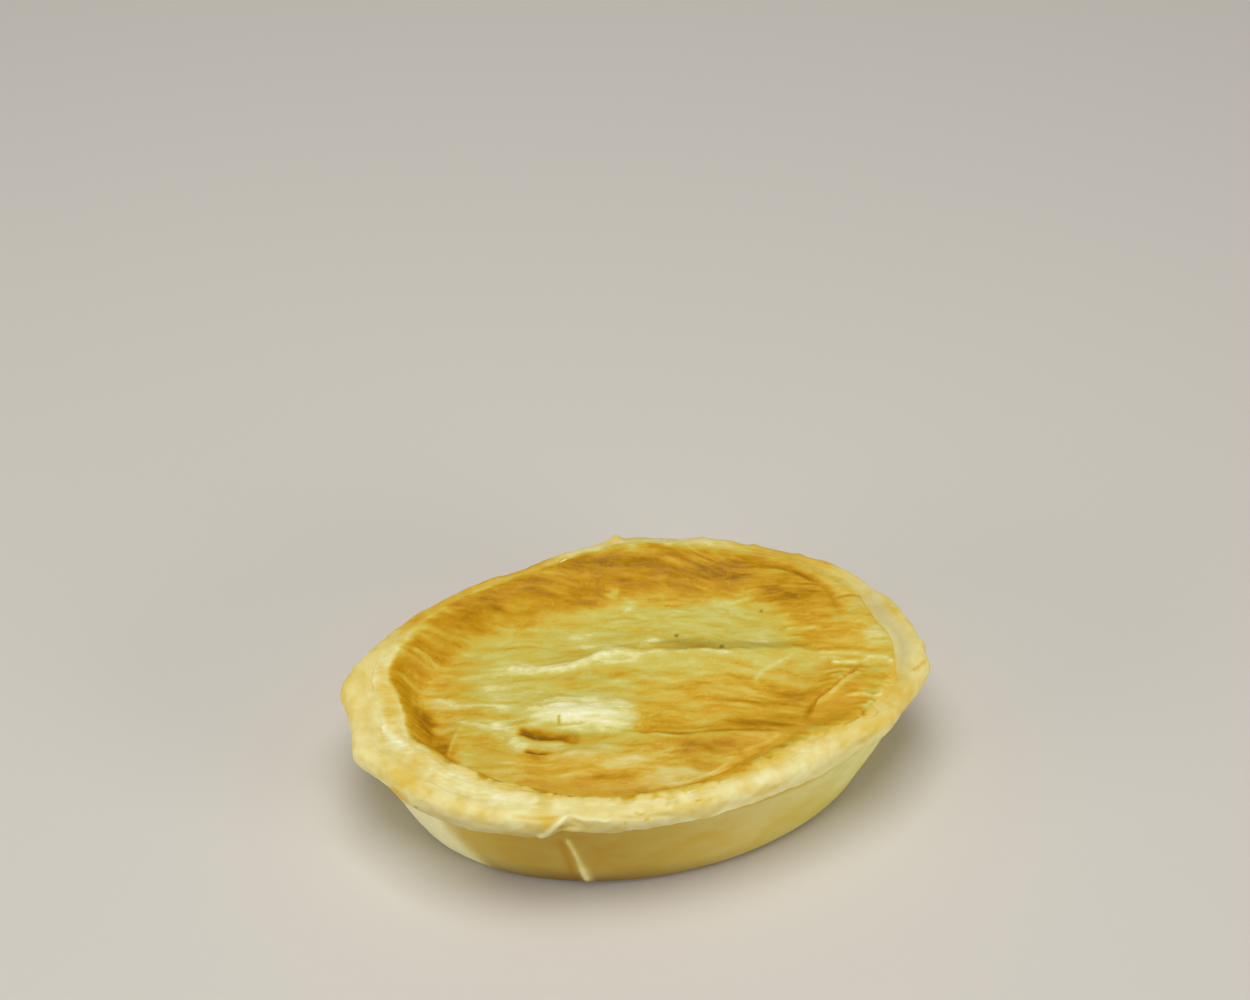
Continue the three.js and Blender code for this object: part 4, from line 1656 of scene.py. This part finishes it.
@dataclass
class ShortcrustCase:
    """The case: a tube of rings drawn in onto the case's solid, closed under the lid and at the base.

    Attributes:
        node: the solid it stands for.
        around: corners round the pie.
        clear: how far outside the rim the rings start.
        foot_rings: heights of the foot's rings.
        wall_rings, lip_rings, face_rings: how many rings go up the wall, over the lip's edge and above it.
        turn: radius of the turn from the upright rings to the level ones.
        turn_height: height at which that turn starts.
        turn_steps: rings round the turn.
        level_rings: reach of the level rings past the rim's oval, below 0 inside it.
        fill_shares: the rings that close an end, each as a share of the one before.
        foot_height: a height that only the foot's ring lies under.
        join_outer, join_inner, dip_zone: where the rim's top runs into the lid's from without and within,
            and where it dips under, by how far past the lid's edge.
        join_from: a height that only the rim's top is above.
        hidden_drop: how far the seat under the lid is sunk, clear of the lid's own sheet.
        seat_zone, seat_from, seat_inset: the seat, by how far past the lid's edge, how high and how far in.
        unroll_in: how far in over the lip the unrolled wall goes on, and unroll_from, at which heights.
        base_zone, top_zone: heights at which the relief sets in, and at which the wall turns to the rim.
        face_inset: how far in the wall's own unevenness ends.
        wall_height: height of the wall up to the lip.
        lip_height: height of the lip's lower edge.
        lip_swells: where that edge hangs lower, or is lifted.
        lip_bulge, lip_groove: how far the lip stands out along that edge, and the wall in below it.
        lip_softening: how far both die out where the lip is plain.
        lip_zone: heights about that edge over which colours change.
        plain_from, plain_to: bearings between which the lip dies out into the wall.
        fray: how ragged that edge is, and fray_reach, how far up and down.
        sway: broad unevenness of the wall.
        dimples: small dimples of the wall.
        rim_dimples: how much deeper they are on the rim.
        groove_depth: depth of the groove beside the lid's free edge.
        groove_line, groove_strip: how far past that edge the groove and its colour are, and how wide.
        right_zone: bearings over which the right front's face sets in.
        right_yellow: how far that face takes the lid's yellow colours.
        wall_bake: how far the wall is baked.
        painted_wall_shade: where the wall's front, which faces away from the lights, is painted browner and
            greyer as painted shade.
        painted_shade_bake: how much browner.
        painted_right_light, upper_bake: how much paler the wall is at the right, as painted light where the
            light falls on it, and in its upper part.
        toning: broad changes of the wall's baking.
        rough: what breaks up the marks.
        fold_at: oval bearing and height of the corner fold.
        fold_lean: degrees that the fold leans to a millimetre of height.
        lit_face_bake: how far the face left of it is baked, painted pale as painted light where it faces
            the left light.
        under_lip_shade_bake: how far the line under the lip is baked, as painted shade under the lip's
            overhang.
        groove_bake: how far the groove is baked.
        speck_at: oval bearing and height of the burnt speck.
        speck_reach, speck_char: how wide it is and how burnt.
        wall_shade_grey, foot_shade_grey: how grey the wall's painted shade is, and how much greyer it is
            painted at its foot.
        groove_painted_shade, lip_painted_shade: how grey the groove and the lip's front are painted, as
            painted shade.
    """

    node: str = "pastry_case"
    around: int = 760
    clear: float = 5.0
    foot_rings: tuple[float, ...] = (0.06, 0.2, 0.45, 0.8, 1.3, 2.0)
    wall_rings: int = 34
    lip_rings: int = 24
    face_rings: int = 4
    turn: float = 9.0
    turn_height: float = 27.5
    turn_steps: int = 18
    level_rings: tuple[float, ...] = (
        *np.arange(-4.5, -12.5, -0.5).tolist(),
        -13, -14, -15, -16, -17, -18, -20, -23, -27, -32, -38,
    )
    fill_shares: tuple[float, ...] = (0.85, 0.5)
    foot_height: float = 5.0
    join_outer: Point = (1.6, 0.9)
    join_inner: Point = (-1.9, -1.5)
    dip_zone: Point = (0.1, -0.9)
    join_from: float = 26.0
    hidden_drop: float = 0.8
    seat_zone: Point = (-2.0, -4.0)
    seat_from: float = 10.0
    seat_inset: float = 6.0
    unroll_in: float = 8.0
    unroll_from: Point = (25.0, 27.0)
    base_zone: Point = (0.4, 3.0)
    top_zone: Point = (24.5, 27.0)
    face_inset: Point = (0.5, 2.5)
    wall_height: float = 22.6
    lip_height: float = 24.6
    lip_swells: tuple[Swell, ...] = (Swell(-119, 4.5, -1.2), Swell(-113, 3.2, 1.7), Swell(-58, 16, -1.3))
    lip_bulge: float = 0.24
    lip_groove: float = 0.4
    lip_softening: float = 0.8
    lip_zone: Point = (-0.3, 0.3)
    plain_from: Point = (-72.0, -45.0)
    plain_to: Point = (75.0, 45.0)
    fray: Grain = Grain((4.0, 4.0, 30.0), 4, 22.0, 0.65)
    fray_reach: float = 1.1
    sway: Grain = Grain((16.0, 16.0, 12.0), 2, 1.0, 0.25)
    dimples: Grain = Grain((4.0, 4.0, 3.0), 3, 2.0, 0.06)
    rim_dimples: float = 0.16
    groove_depth: float = 0.5
    groove_line: Point = (1.8, 1.3)
    groove_strip: Point = (2.2, 2.4)
    right_zone: Point = (-85.0, -50.0)
    right_yellow: float = 0.75
    wall_bake: float = 0.3
    painted_wall_shade: Swell = Swell(-112, 34, 1.0)
    painted_shade_bake: float = 0.16
    painted_right_light: float = 0.05
    upper_bake: float = 0.08
    toning: Grain = Grain((14.0, 14.0, 9.0), 3, 5.0, 0.1)
    rough: Grain = Grain((2.0, 2.0, 2.0), 3, 17.0, 0.25)
    fold_at: Point = (-143.0, 18.0)
    fold_lean: float = 0.36
    lit_face_bake: float = 0.03
    under_lip_shade_bake: float = 0.5
    groove_bake: float = 0.12
    speck_at: Point = (-145.9, 26.1)
    speck_reach: float = 0.5
    speck_char: float = 0.8
    wall_shade_grey: float = 0.38
    foot_shade_grey: float = 0.44
    groove_painted_shade: float = 0.24
    lip_painted_shade: float = 0.3

    def stations(self) -> list[Point]:
        """Rings of the start shape, from the foot up and in.

        Returns:
            Reach past the rim's oval, and height, of each ring.
        """
        wall = np.linspace(2.7, self.wall_height, self.wall_rings).tolist()
        lip = np.linspace(self.wall_height + 0.2, self.lip_height + 1.8, self.lip_rings).tolist()
        face = np.linspace(self.lip_height + 2.1, self.turn_height, self.face_rings).tolist()
        rings = [(self.clear, height) for height in [*self.foot_rings, *wall, *lip, *face]]
        for step in range(1, self.turn_steps + 1):
            angle = 0.5 * math.pi * step / self.turn_steps
            out = self.clear - self.turn * (1.0 - math.cos(angle))
            rings.append((out, self.turn_height + self.turn * math.sin(angle)))
        top = self.turn_height + self.turn
        return rings + [(out, top) for out in self.level_rings]

    def build(self, form: SmoothForm, join: RimJoin) -> Piece:
        """Makes the case.

        Args:
            form: the case's smoothed solid.
            join: where the lid lies on the rim.

        Returns:
            The finished piece.
        """
        piece = self.rings()
        finish_with(
            piece, "SHRINKWRAP", target=form.piece, wrap_method="PROJECT",
            use_negative_direction=True, use_positive_direction=False,
        )
        self.close(piece)
        corners = Corners(piece)
        self.meet(corners, join)
        self.work(corners, join)
        corners.paint("bake", self.baking(corners, join))
        corners.paint("crust", 1.0 - self.right_yellow * self.right_face(corners))
        corners.paint("char_and_shade", self.specks_and_shade(corners, join))
        return piece

    def rings(self) -> Piece:
        """A circle extruded ring by ring into the start shape.

        Returns:
            The open start shape, clear of the solid all round.
        """
        stations = self.stations()
        out, height = stations[0]
        bpy.ops.object.select_all(action="DESELECT")
        bpy.ops.mesh.primitive_circle_add(
            vertices=self.around, radius=1.0, fill_type="NOTHING", location=(0, 0, 0)
        )
        piece = bpy.context.object
        piece.name = "shortcrust_case"
        piece.data.name = piece.name
        corners = Corners(piece)
        corners.places *= np.array([(RIM_HALF[0] + out) * MM, (RIM_HALF[1] + out) * MM, 1.0])
        corners.places[:, 2] = height
        corners.store()
        with editing(piece):
            bpy.ops.mesh.select_all(action="SELECT")
            for next_out, next_height in stations[1:]:
                along, across = [(half + next_out) / (half + out) for half in RIM_HALF]
                extrude_scaled((along, across), next_height - height)
                out, height = next_out, next_height
            face_outwards()
        return piece

    def close(self, piece: Piece) -> None:
        """Closes the flat base, then the hidden seat under the lid.

        Args:
            piece: the case, open at both ends.
        """
        with editing(piece):
            bpy.ops.mesh.select_non_manifold()
            self.keep_low(piece)
            self.fill()
        with editing(piece):
            bpy.ops.mesh.select_non_manifold()
            self.fill()
            face_outwards()

    def keep_low(self, piece: Piece) -> None:
        """Leaves only the selected edges at the foot selected.

        Args:
            piece: the case, in edit mode.
        """
        bpy.ops.object.mode_set(mode="OBJECT")
        low = self.foot_height * MM
        for edge in piece.data.edges:
            edge.select = edge.select and piece.data.vertices[edge.vertices[0]].co.z < low
        for vertex in piece.data.vertices:
            vertex.select = vertex.select and vertex.co.z < low
        bpy.ops.object.mode_set(mode="EDIT")

    def fill(self) -> None:
        """Closes the selected open end in rings, down to one corner."""
        for share in self.fill_shares:
            extrude_scaled((share, share))
        bpy.ops.mesh.merge(type="CENTER")

    def meet(self, corners: Corners, join: RimJoin) -> None:
        """Runs the rim's top into the lid, and sinks the seat under it.

        Args:
            corners: the case's corners.
            join: where the lid lies on the rim.
        """
        past = join.past(corners.plan)
        free = join.freedom(corners.plan)
        level = mix(join.level(corners.plan), join.read(corners.plan, join.outer), free)
        joined = level - join.dip * ease(past, *self.dip_zone)
        height = corners.places[:, 2].copy()
        share = ease(past, *self.join_outer) * ease(past, *self.join_inner) * (height > self.join_from)
        height = mix(height, joined, share)
        within = join.inset(corners.plan) > self.seat_inset
        seat = ease(past, *self.seat_zone) * (height > self.seat_from) * within
        corners.places[:, 2] = height - self.hidden_drop * seat
        corners.store()

    def unrolled(self, corners: Corners, join: RimJoin) -> Values:
        """Places on the unrolled wall.

        Args:
            corners: the case's corners.
            join: where the lid lies on the rim.

        Returns:
            Rows of millimetres round from the right end, and up the wall and in over the lip.
        """
        height = corners.places[:, 2]
        inset = np.clip(join.inset(corners.plan), 0.0, self.unroll_in)
        inward = inset * ease(height, *self.unroll_from)
        return np.column_stack([corners.bearing * DEGREE, height + inward])

    def above_lip(self, corners: Corners) -> Values:
        """How far corners are above the lip's frayed lower edge.

        Args:
            corners: the case's corners.

        Returns:
            One height for each, below 0 on the wall.
        """
        bearing = corners.bearing
        edge = self.lip_height + sum(swell.amount(bearing) for swell in self.lip_swells)
        return corners.places[:, 2] - edge - self.fray.at(corners.places)

    def lit_left_face(self, corners: Corners) -> Values:
        """How far corners belong to the wall's pale face left of the corner fold.

        Args:
            corners: the case's corners.

        Returns:
            One share for each, from 0 to 1.
        """
        # the face left of the fold faces the left light, and its pallor is painted light
        bearing, height = self.fold_at
        past_fold = corners.bearing - bearing + self.fold_lean * (corners.places[:, 2] - height)
        return ease(past_fold, 4.5, -3.0) * (corners.bearing < -90.0)

    def plain_lip(self, plan: Values) -> Values:
        """How far the lip's lower edge has died out into the wall, round the right end, from 0 to 1."""
        bearing = bearing_of(plan)
        return ease(bearing, *self.plain_from) * ease(bearing, *self.plain_to)

    def right_face(self, corners: Corners) -> Values:
        """How far each corner belongs to the wall's yellow face at the right front, from 0 to 1."""
        right = ease(corners.bearing, *self.right_zone)
        return right * ease(self.above_lip(corners), *self.lip_zone[::-1])

    def work(self, corners: Corners, join: RimJoin) -> None:
        """Presses the pleat, the lip's flap and gentle lumps into the case.

        Args:
            corners: the case's corners.
            join: where the lid lies on the rim.
        """
        plan = corners.plan.copy()
        wall = self.unrolled(corners, join)
        height = corners.places[:, 2]
        inset = join.inset(plan)
        outer = np.hypot(plan[:, 0] / RIM_HALF[0], plan[:, 1] / RIM_HALF[1]) > 0.6
        above_base = ease(height, *self.base_zone) * outer
        on_top = ease(height, *self.top_zone)
        face = 1.0 - on_top * ease(inset, *self.face_inset)
        frayed = self.fray.at(corners.places)
        from_edge = self.above_lip(corners) + frayed
        corners.places[:, 2] += frayed * bell(from_edge / self.fray_reach) * outer
        lip = self.above_lip(corners)
        relief = sum(mark.relief(wall) for mark in CASE_MARKS if mark.height)
        lip_line = self.lip_bulge * bell((lip - 0.5) / 0.45) - self.lip_groove * bell((lip + 0.35) / 0.4)
        relief = relief + lip_line * (1.0 - self.lip_softening * self.plain_lip(plan))
        relief = relief + face * self.sway.at(corners.places)
        depth = self.dimples.amount + self.rim_dimples * on_top
        relief = relief + face * depth * self.dimples.pattern(corners.places)
        relief = relief + on_top * RIM.relief(plan, inset)
        relief = relief - self.groove_depth * join.beside(plan, *self.groove_line) * on_top
        corners.press(above_base * relief)

    def baking(self, corners: Corners, join: RimJoin) -> Values:
        """How far each place of the case is baked: the wall, the rim, the groove and the marks.

        Args:
            corners: the case's corners.
            join: where the lid lies on the rim.

        Returns:
            One value for each corner, 0 for cream to 1 for dark.
        """
        wall = self.unrolled(corners, join)
        height = corners.places[:, 2]
        bearing = wall[:, 0] / DEGREE
        lip = self.above_lip(corners)
        lit_left_face = self.lit_left_face(corners)
        plain = self.plain_lip(corners.plan)
        # painted shade on the wall's front, which faces away from the lights
        bake = self.wall_bake + self.painted_shade_bake * self.painted_wall_shade.amount(bearing)
        # painted light: the wall is painted paler at the right front, where the light falls on it
        bake = bake - self.painted_right_light * ease(bearing, -80.0, -45.0)
        bake = bake - self.upper_bake * ease(height, 8.0, 20.0) * ease(bearing, -105.0, -75.0)
        # painted light: the face left of the corner fold, which faces the left light, is painted pale
        bake = mix(bake + self.toning.at(corners.places), self.lit_face_bake, 0.9 * lit_left_face)
        # painted shade along the wall under the lip's overhang
        under_lip_shade = 0.5 * bell((lip + 0.7) / 0.7) * (1.0 - 0.7 * lit_left_face)
        bake = mix(bake, self.under_lip_shade_bake, under_lip_shade * (1.0 - self.lip_softening * plain))
        bake = mix(bake, RIM.tone(corners.places), ease(lip, -0.25 - 2.0 * plain, 0.2 + 0.6 * plain))
        groove = join.beside(corners.plan, *self.groove_strip)
        bake = mix(bake, self.groove_bake, 0.8 * groove * ease(lip, 0.0, 2.0))
        rough = MARK_STRENGTH + self.rough.at(corners.places)
        for mark in CASE_MARKS:
            bake = mix(bake, mark.bake, mark.tint(wall, rough))
        return np.clip(bake, 0.0, 1.0)

    def specks_and_shade(self, corners: Corners, join: RimJoin) -> Values:
        """How burnt or greyed places are: a speck, the wall's shade, the lip's front and the groove.

        Args:
            corners: the case's corners.
            join: where the lid lies on the rim.

        Returns:
            One value for each corner, from 0 to 1.
        """
        # most of this is painted shade, with one burnt speck
        wall = self.unrolled(corners, join)
        height = corners.places[:, 2]
        away = np.hypot(wall[:, 0] - self.speck_at[0] * DEGREE, wall[:, 1] - self.speck_at[1])
        shade = self.painted_wall_shade.amount(wall[:, 0] / DEGREE) * (1.0 - self.lit_left_face(corners))
        # the painted shade is lifted where the pleat's painted light lies
        for mark in PAINTED_PLEAT_LIGHT:
            shade = shade * (1.0 - mark.tint(wall, np.ones(len(wall))))
        # painted shade, greyer towards the wall's foot
        shade = (self.wall_shade_grey + self.foot_shade_grey * ease(height, 9.0, 0.0)) * shade
        # painted shade on the lip's front under the rim's rounded shoulder, fading out to the right
        face = self.lip_painted_shade * ease(height, 30.4, 25.0) * ease(-corners.plan[:, 1], 15.0, 30.0)
        face = face * ease(corners.plan[:, 0], 12.0, -18.0)
        # painted shade in the groove beside the lid's free edge, or on the lip's front
        top = np.maximum(self.groove_painted_shade * join.beside(corners.plan, *self.groove_strip), face)
        grey = mix(shade, top, ease(self.above_lip(corners), *self.lip_zone))
        return np.maximum(self.speck_char * bell(away / self.speck_reach), grey)


@dataclass(frozen=True)
class SoftLight:
    """A square soft light that faces the pie.

    Attributes:
        name: its name.
        at: its place.
        power: its power in watts.
        size: its side.
    """

    name: str
    at: Place
    power: float
    size: float

    def build(self) -> None:
        """Makes the light."""
        lamp = bpy.data.lights.new(self.name, "AREA")
        lamp.energy = self.power
        lamp.size = self.size * MM
        holder = bpy.data.objects.new(self.name, lamp)
        bpy.context.scene.collection.objects.link(holder)
        holder.location = Vector(self.at) * MM
        holder.rotation_euler = (-Vector(self.at)).to_track_quat("-Z", "Y").to_euler()


@dataclass
class Studio:
    """Plain pale floor, soft light and the camera at the photograph's angle.

    Attributes:
        floor_size: side of the floor.
        floor_colour: the floor's colour.
        floor_roughness: how dull the floor is.
        lights: the soft lights.
        surround_strength: brightness of the even light from all round.
        camera_at: the camera's place.
        camera_heading: the way it looks, degrees from +X.
        camera_dip: how far it looks down, in degrees.
        lens: focal length for a frame as wide as the sensor.
        sensor: width of the sensor.
        near: what is closer to the camera than this isn't seen.
    """

    floor_size: float = 6000.0
    floor_colour: Colour = (214, 208, 198)
    floor_roughness: float = 0.8
    lights: tuple[SoftLight, ...] = (
        SoftLight("overhead", (-60, -40, 950), 6.05, 600),
        SoftLight("left_side", (-980, -200, 200), 3.4, 500),
        SoftLight("right_side", (760, -760, 260), 4.2, 500),
    )
    surround_strength: float = 0.18
    camera_at: Place = (-120.4, -447.7, 517.4)
    camera_heading: float = 75.3
    camera_dip: float = 42.92
    lens: float = 80.64
    sensor: float = 36.0
    near: float = 10.0

    def build(self) -> None:
        """Makes the floor, the lights and the camera."""
        self.floor()
        for light in self.lights:
            light.build()
        self.surround()
        self.camera()

    def floor(self) -> None:
        """A level floor with a plain pale finish."""
        bpy.ops.object.select_all(action="DESELECT")
        bpy.ops.mesh.primitive_plane_add(size=self.floor_size * MM, location=(0, 0, 0))
        floor = bpy.context.object
        floor.name = "studio_floor"
        material = bpy.data.materials.new("pale_floor")
        material.use_nodes = True
        shader = material.node_tree.nodes["Principled BSDF"]
        shader.inputs["Base Color"].default_value = linear(self.floor_colour)
        shader.inputs["Roughness"].default_value = self.floor_roughness
        floor.data.materials.append(material)

    def surround(self) -> None:
        """Even white light from all round."""
        world = bpy.data.worlds.new("even_surround")
        world.use_nodes = True
        background = world.node_tree.nodes["Background"]
        background.inputs["Strength"].default_value = self.surround_strength
        background.inputs["Color"].default_value = (1.0, 1.0, 1.0, 1.0)
        bpy.context.scene.world = world

    def camera(self) -> None:
        """The camera, and a plain film response."""
        lens = bpy.data.cameras.new("photo_camera")
        lens.lens = self.lens
        lens.sensor_width = self.sensor
        lens.sensor_fit = "HORIZONTAL"
        lens.clip_start = self.near * MM
        holder = bpy.data.objects.new("photo_camera", lens)
        bpy.context.scene.collection.objects.link(holder)
        holder.location = Vector(self.camera_at) * MM
        tilt, heading = math.radians(90.0 - self.camera_dip), math.radians(self.camera_heading - 90.0)
        holder.rotation_euler = (tilt, 0.0, heading)
        bpy.context.scene.camera = holder
        bpy.context.scene.view_settings.view_transform = "Standard"


def dress(piece: Piece, finish: PastryFinish, node: str) -> None:
    """Gives a piece its finish and its place in the frame.

    Args:
        piece: the finished mesh.
        finish: its pastry.
        node: the solid that it stands for.
    """
    piece.data.materials.clear()
    piece.data.materials.append(finish.make())
    select_only(piece)
    bpy.ops.object.shade_smooth()
    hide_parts(node)
    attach(piece, "root")
    log.info("%s: %d corners, %d faces", piece.name, len(piece.data.vertices), len(piece.data.polygons))


def main() -> None:
    """Builds the case, the lid and the studio, and reports each piece."""
    logging.basicConfig(level=logging.INFO, format="%(name)s %(message)s")
    lid = PuffLid()
    case = ShortcrustCase()
    lid_form = SmoothForm(lid.node)
    case_form = SmoothForm(case.node)
    join = RimJoin(lid_form, case_form)
    dress(lid.build(lid_form, join), PUFF_PASTRY, lid.node)
    dress(case.build(case_form, join), SHORTCRUST, case.node)
    lid_form.discard()
    case_form.discard()
    Studio().build()


if __name__ == "__main__":
    main()
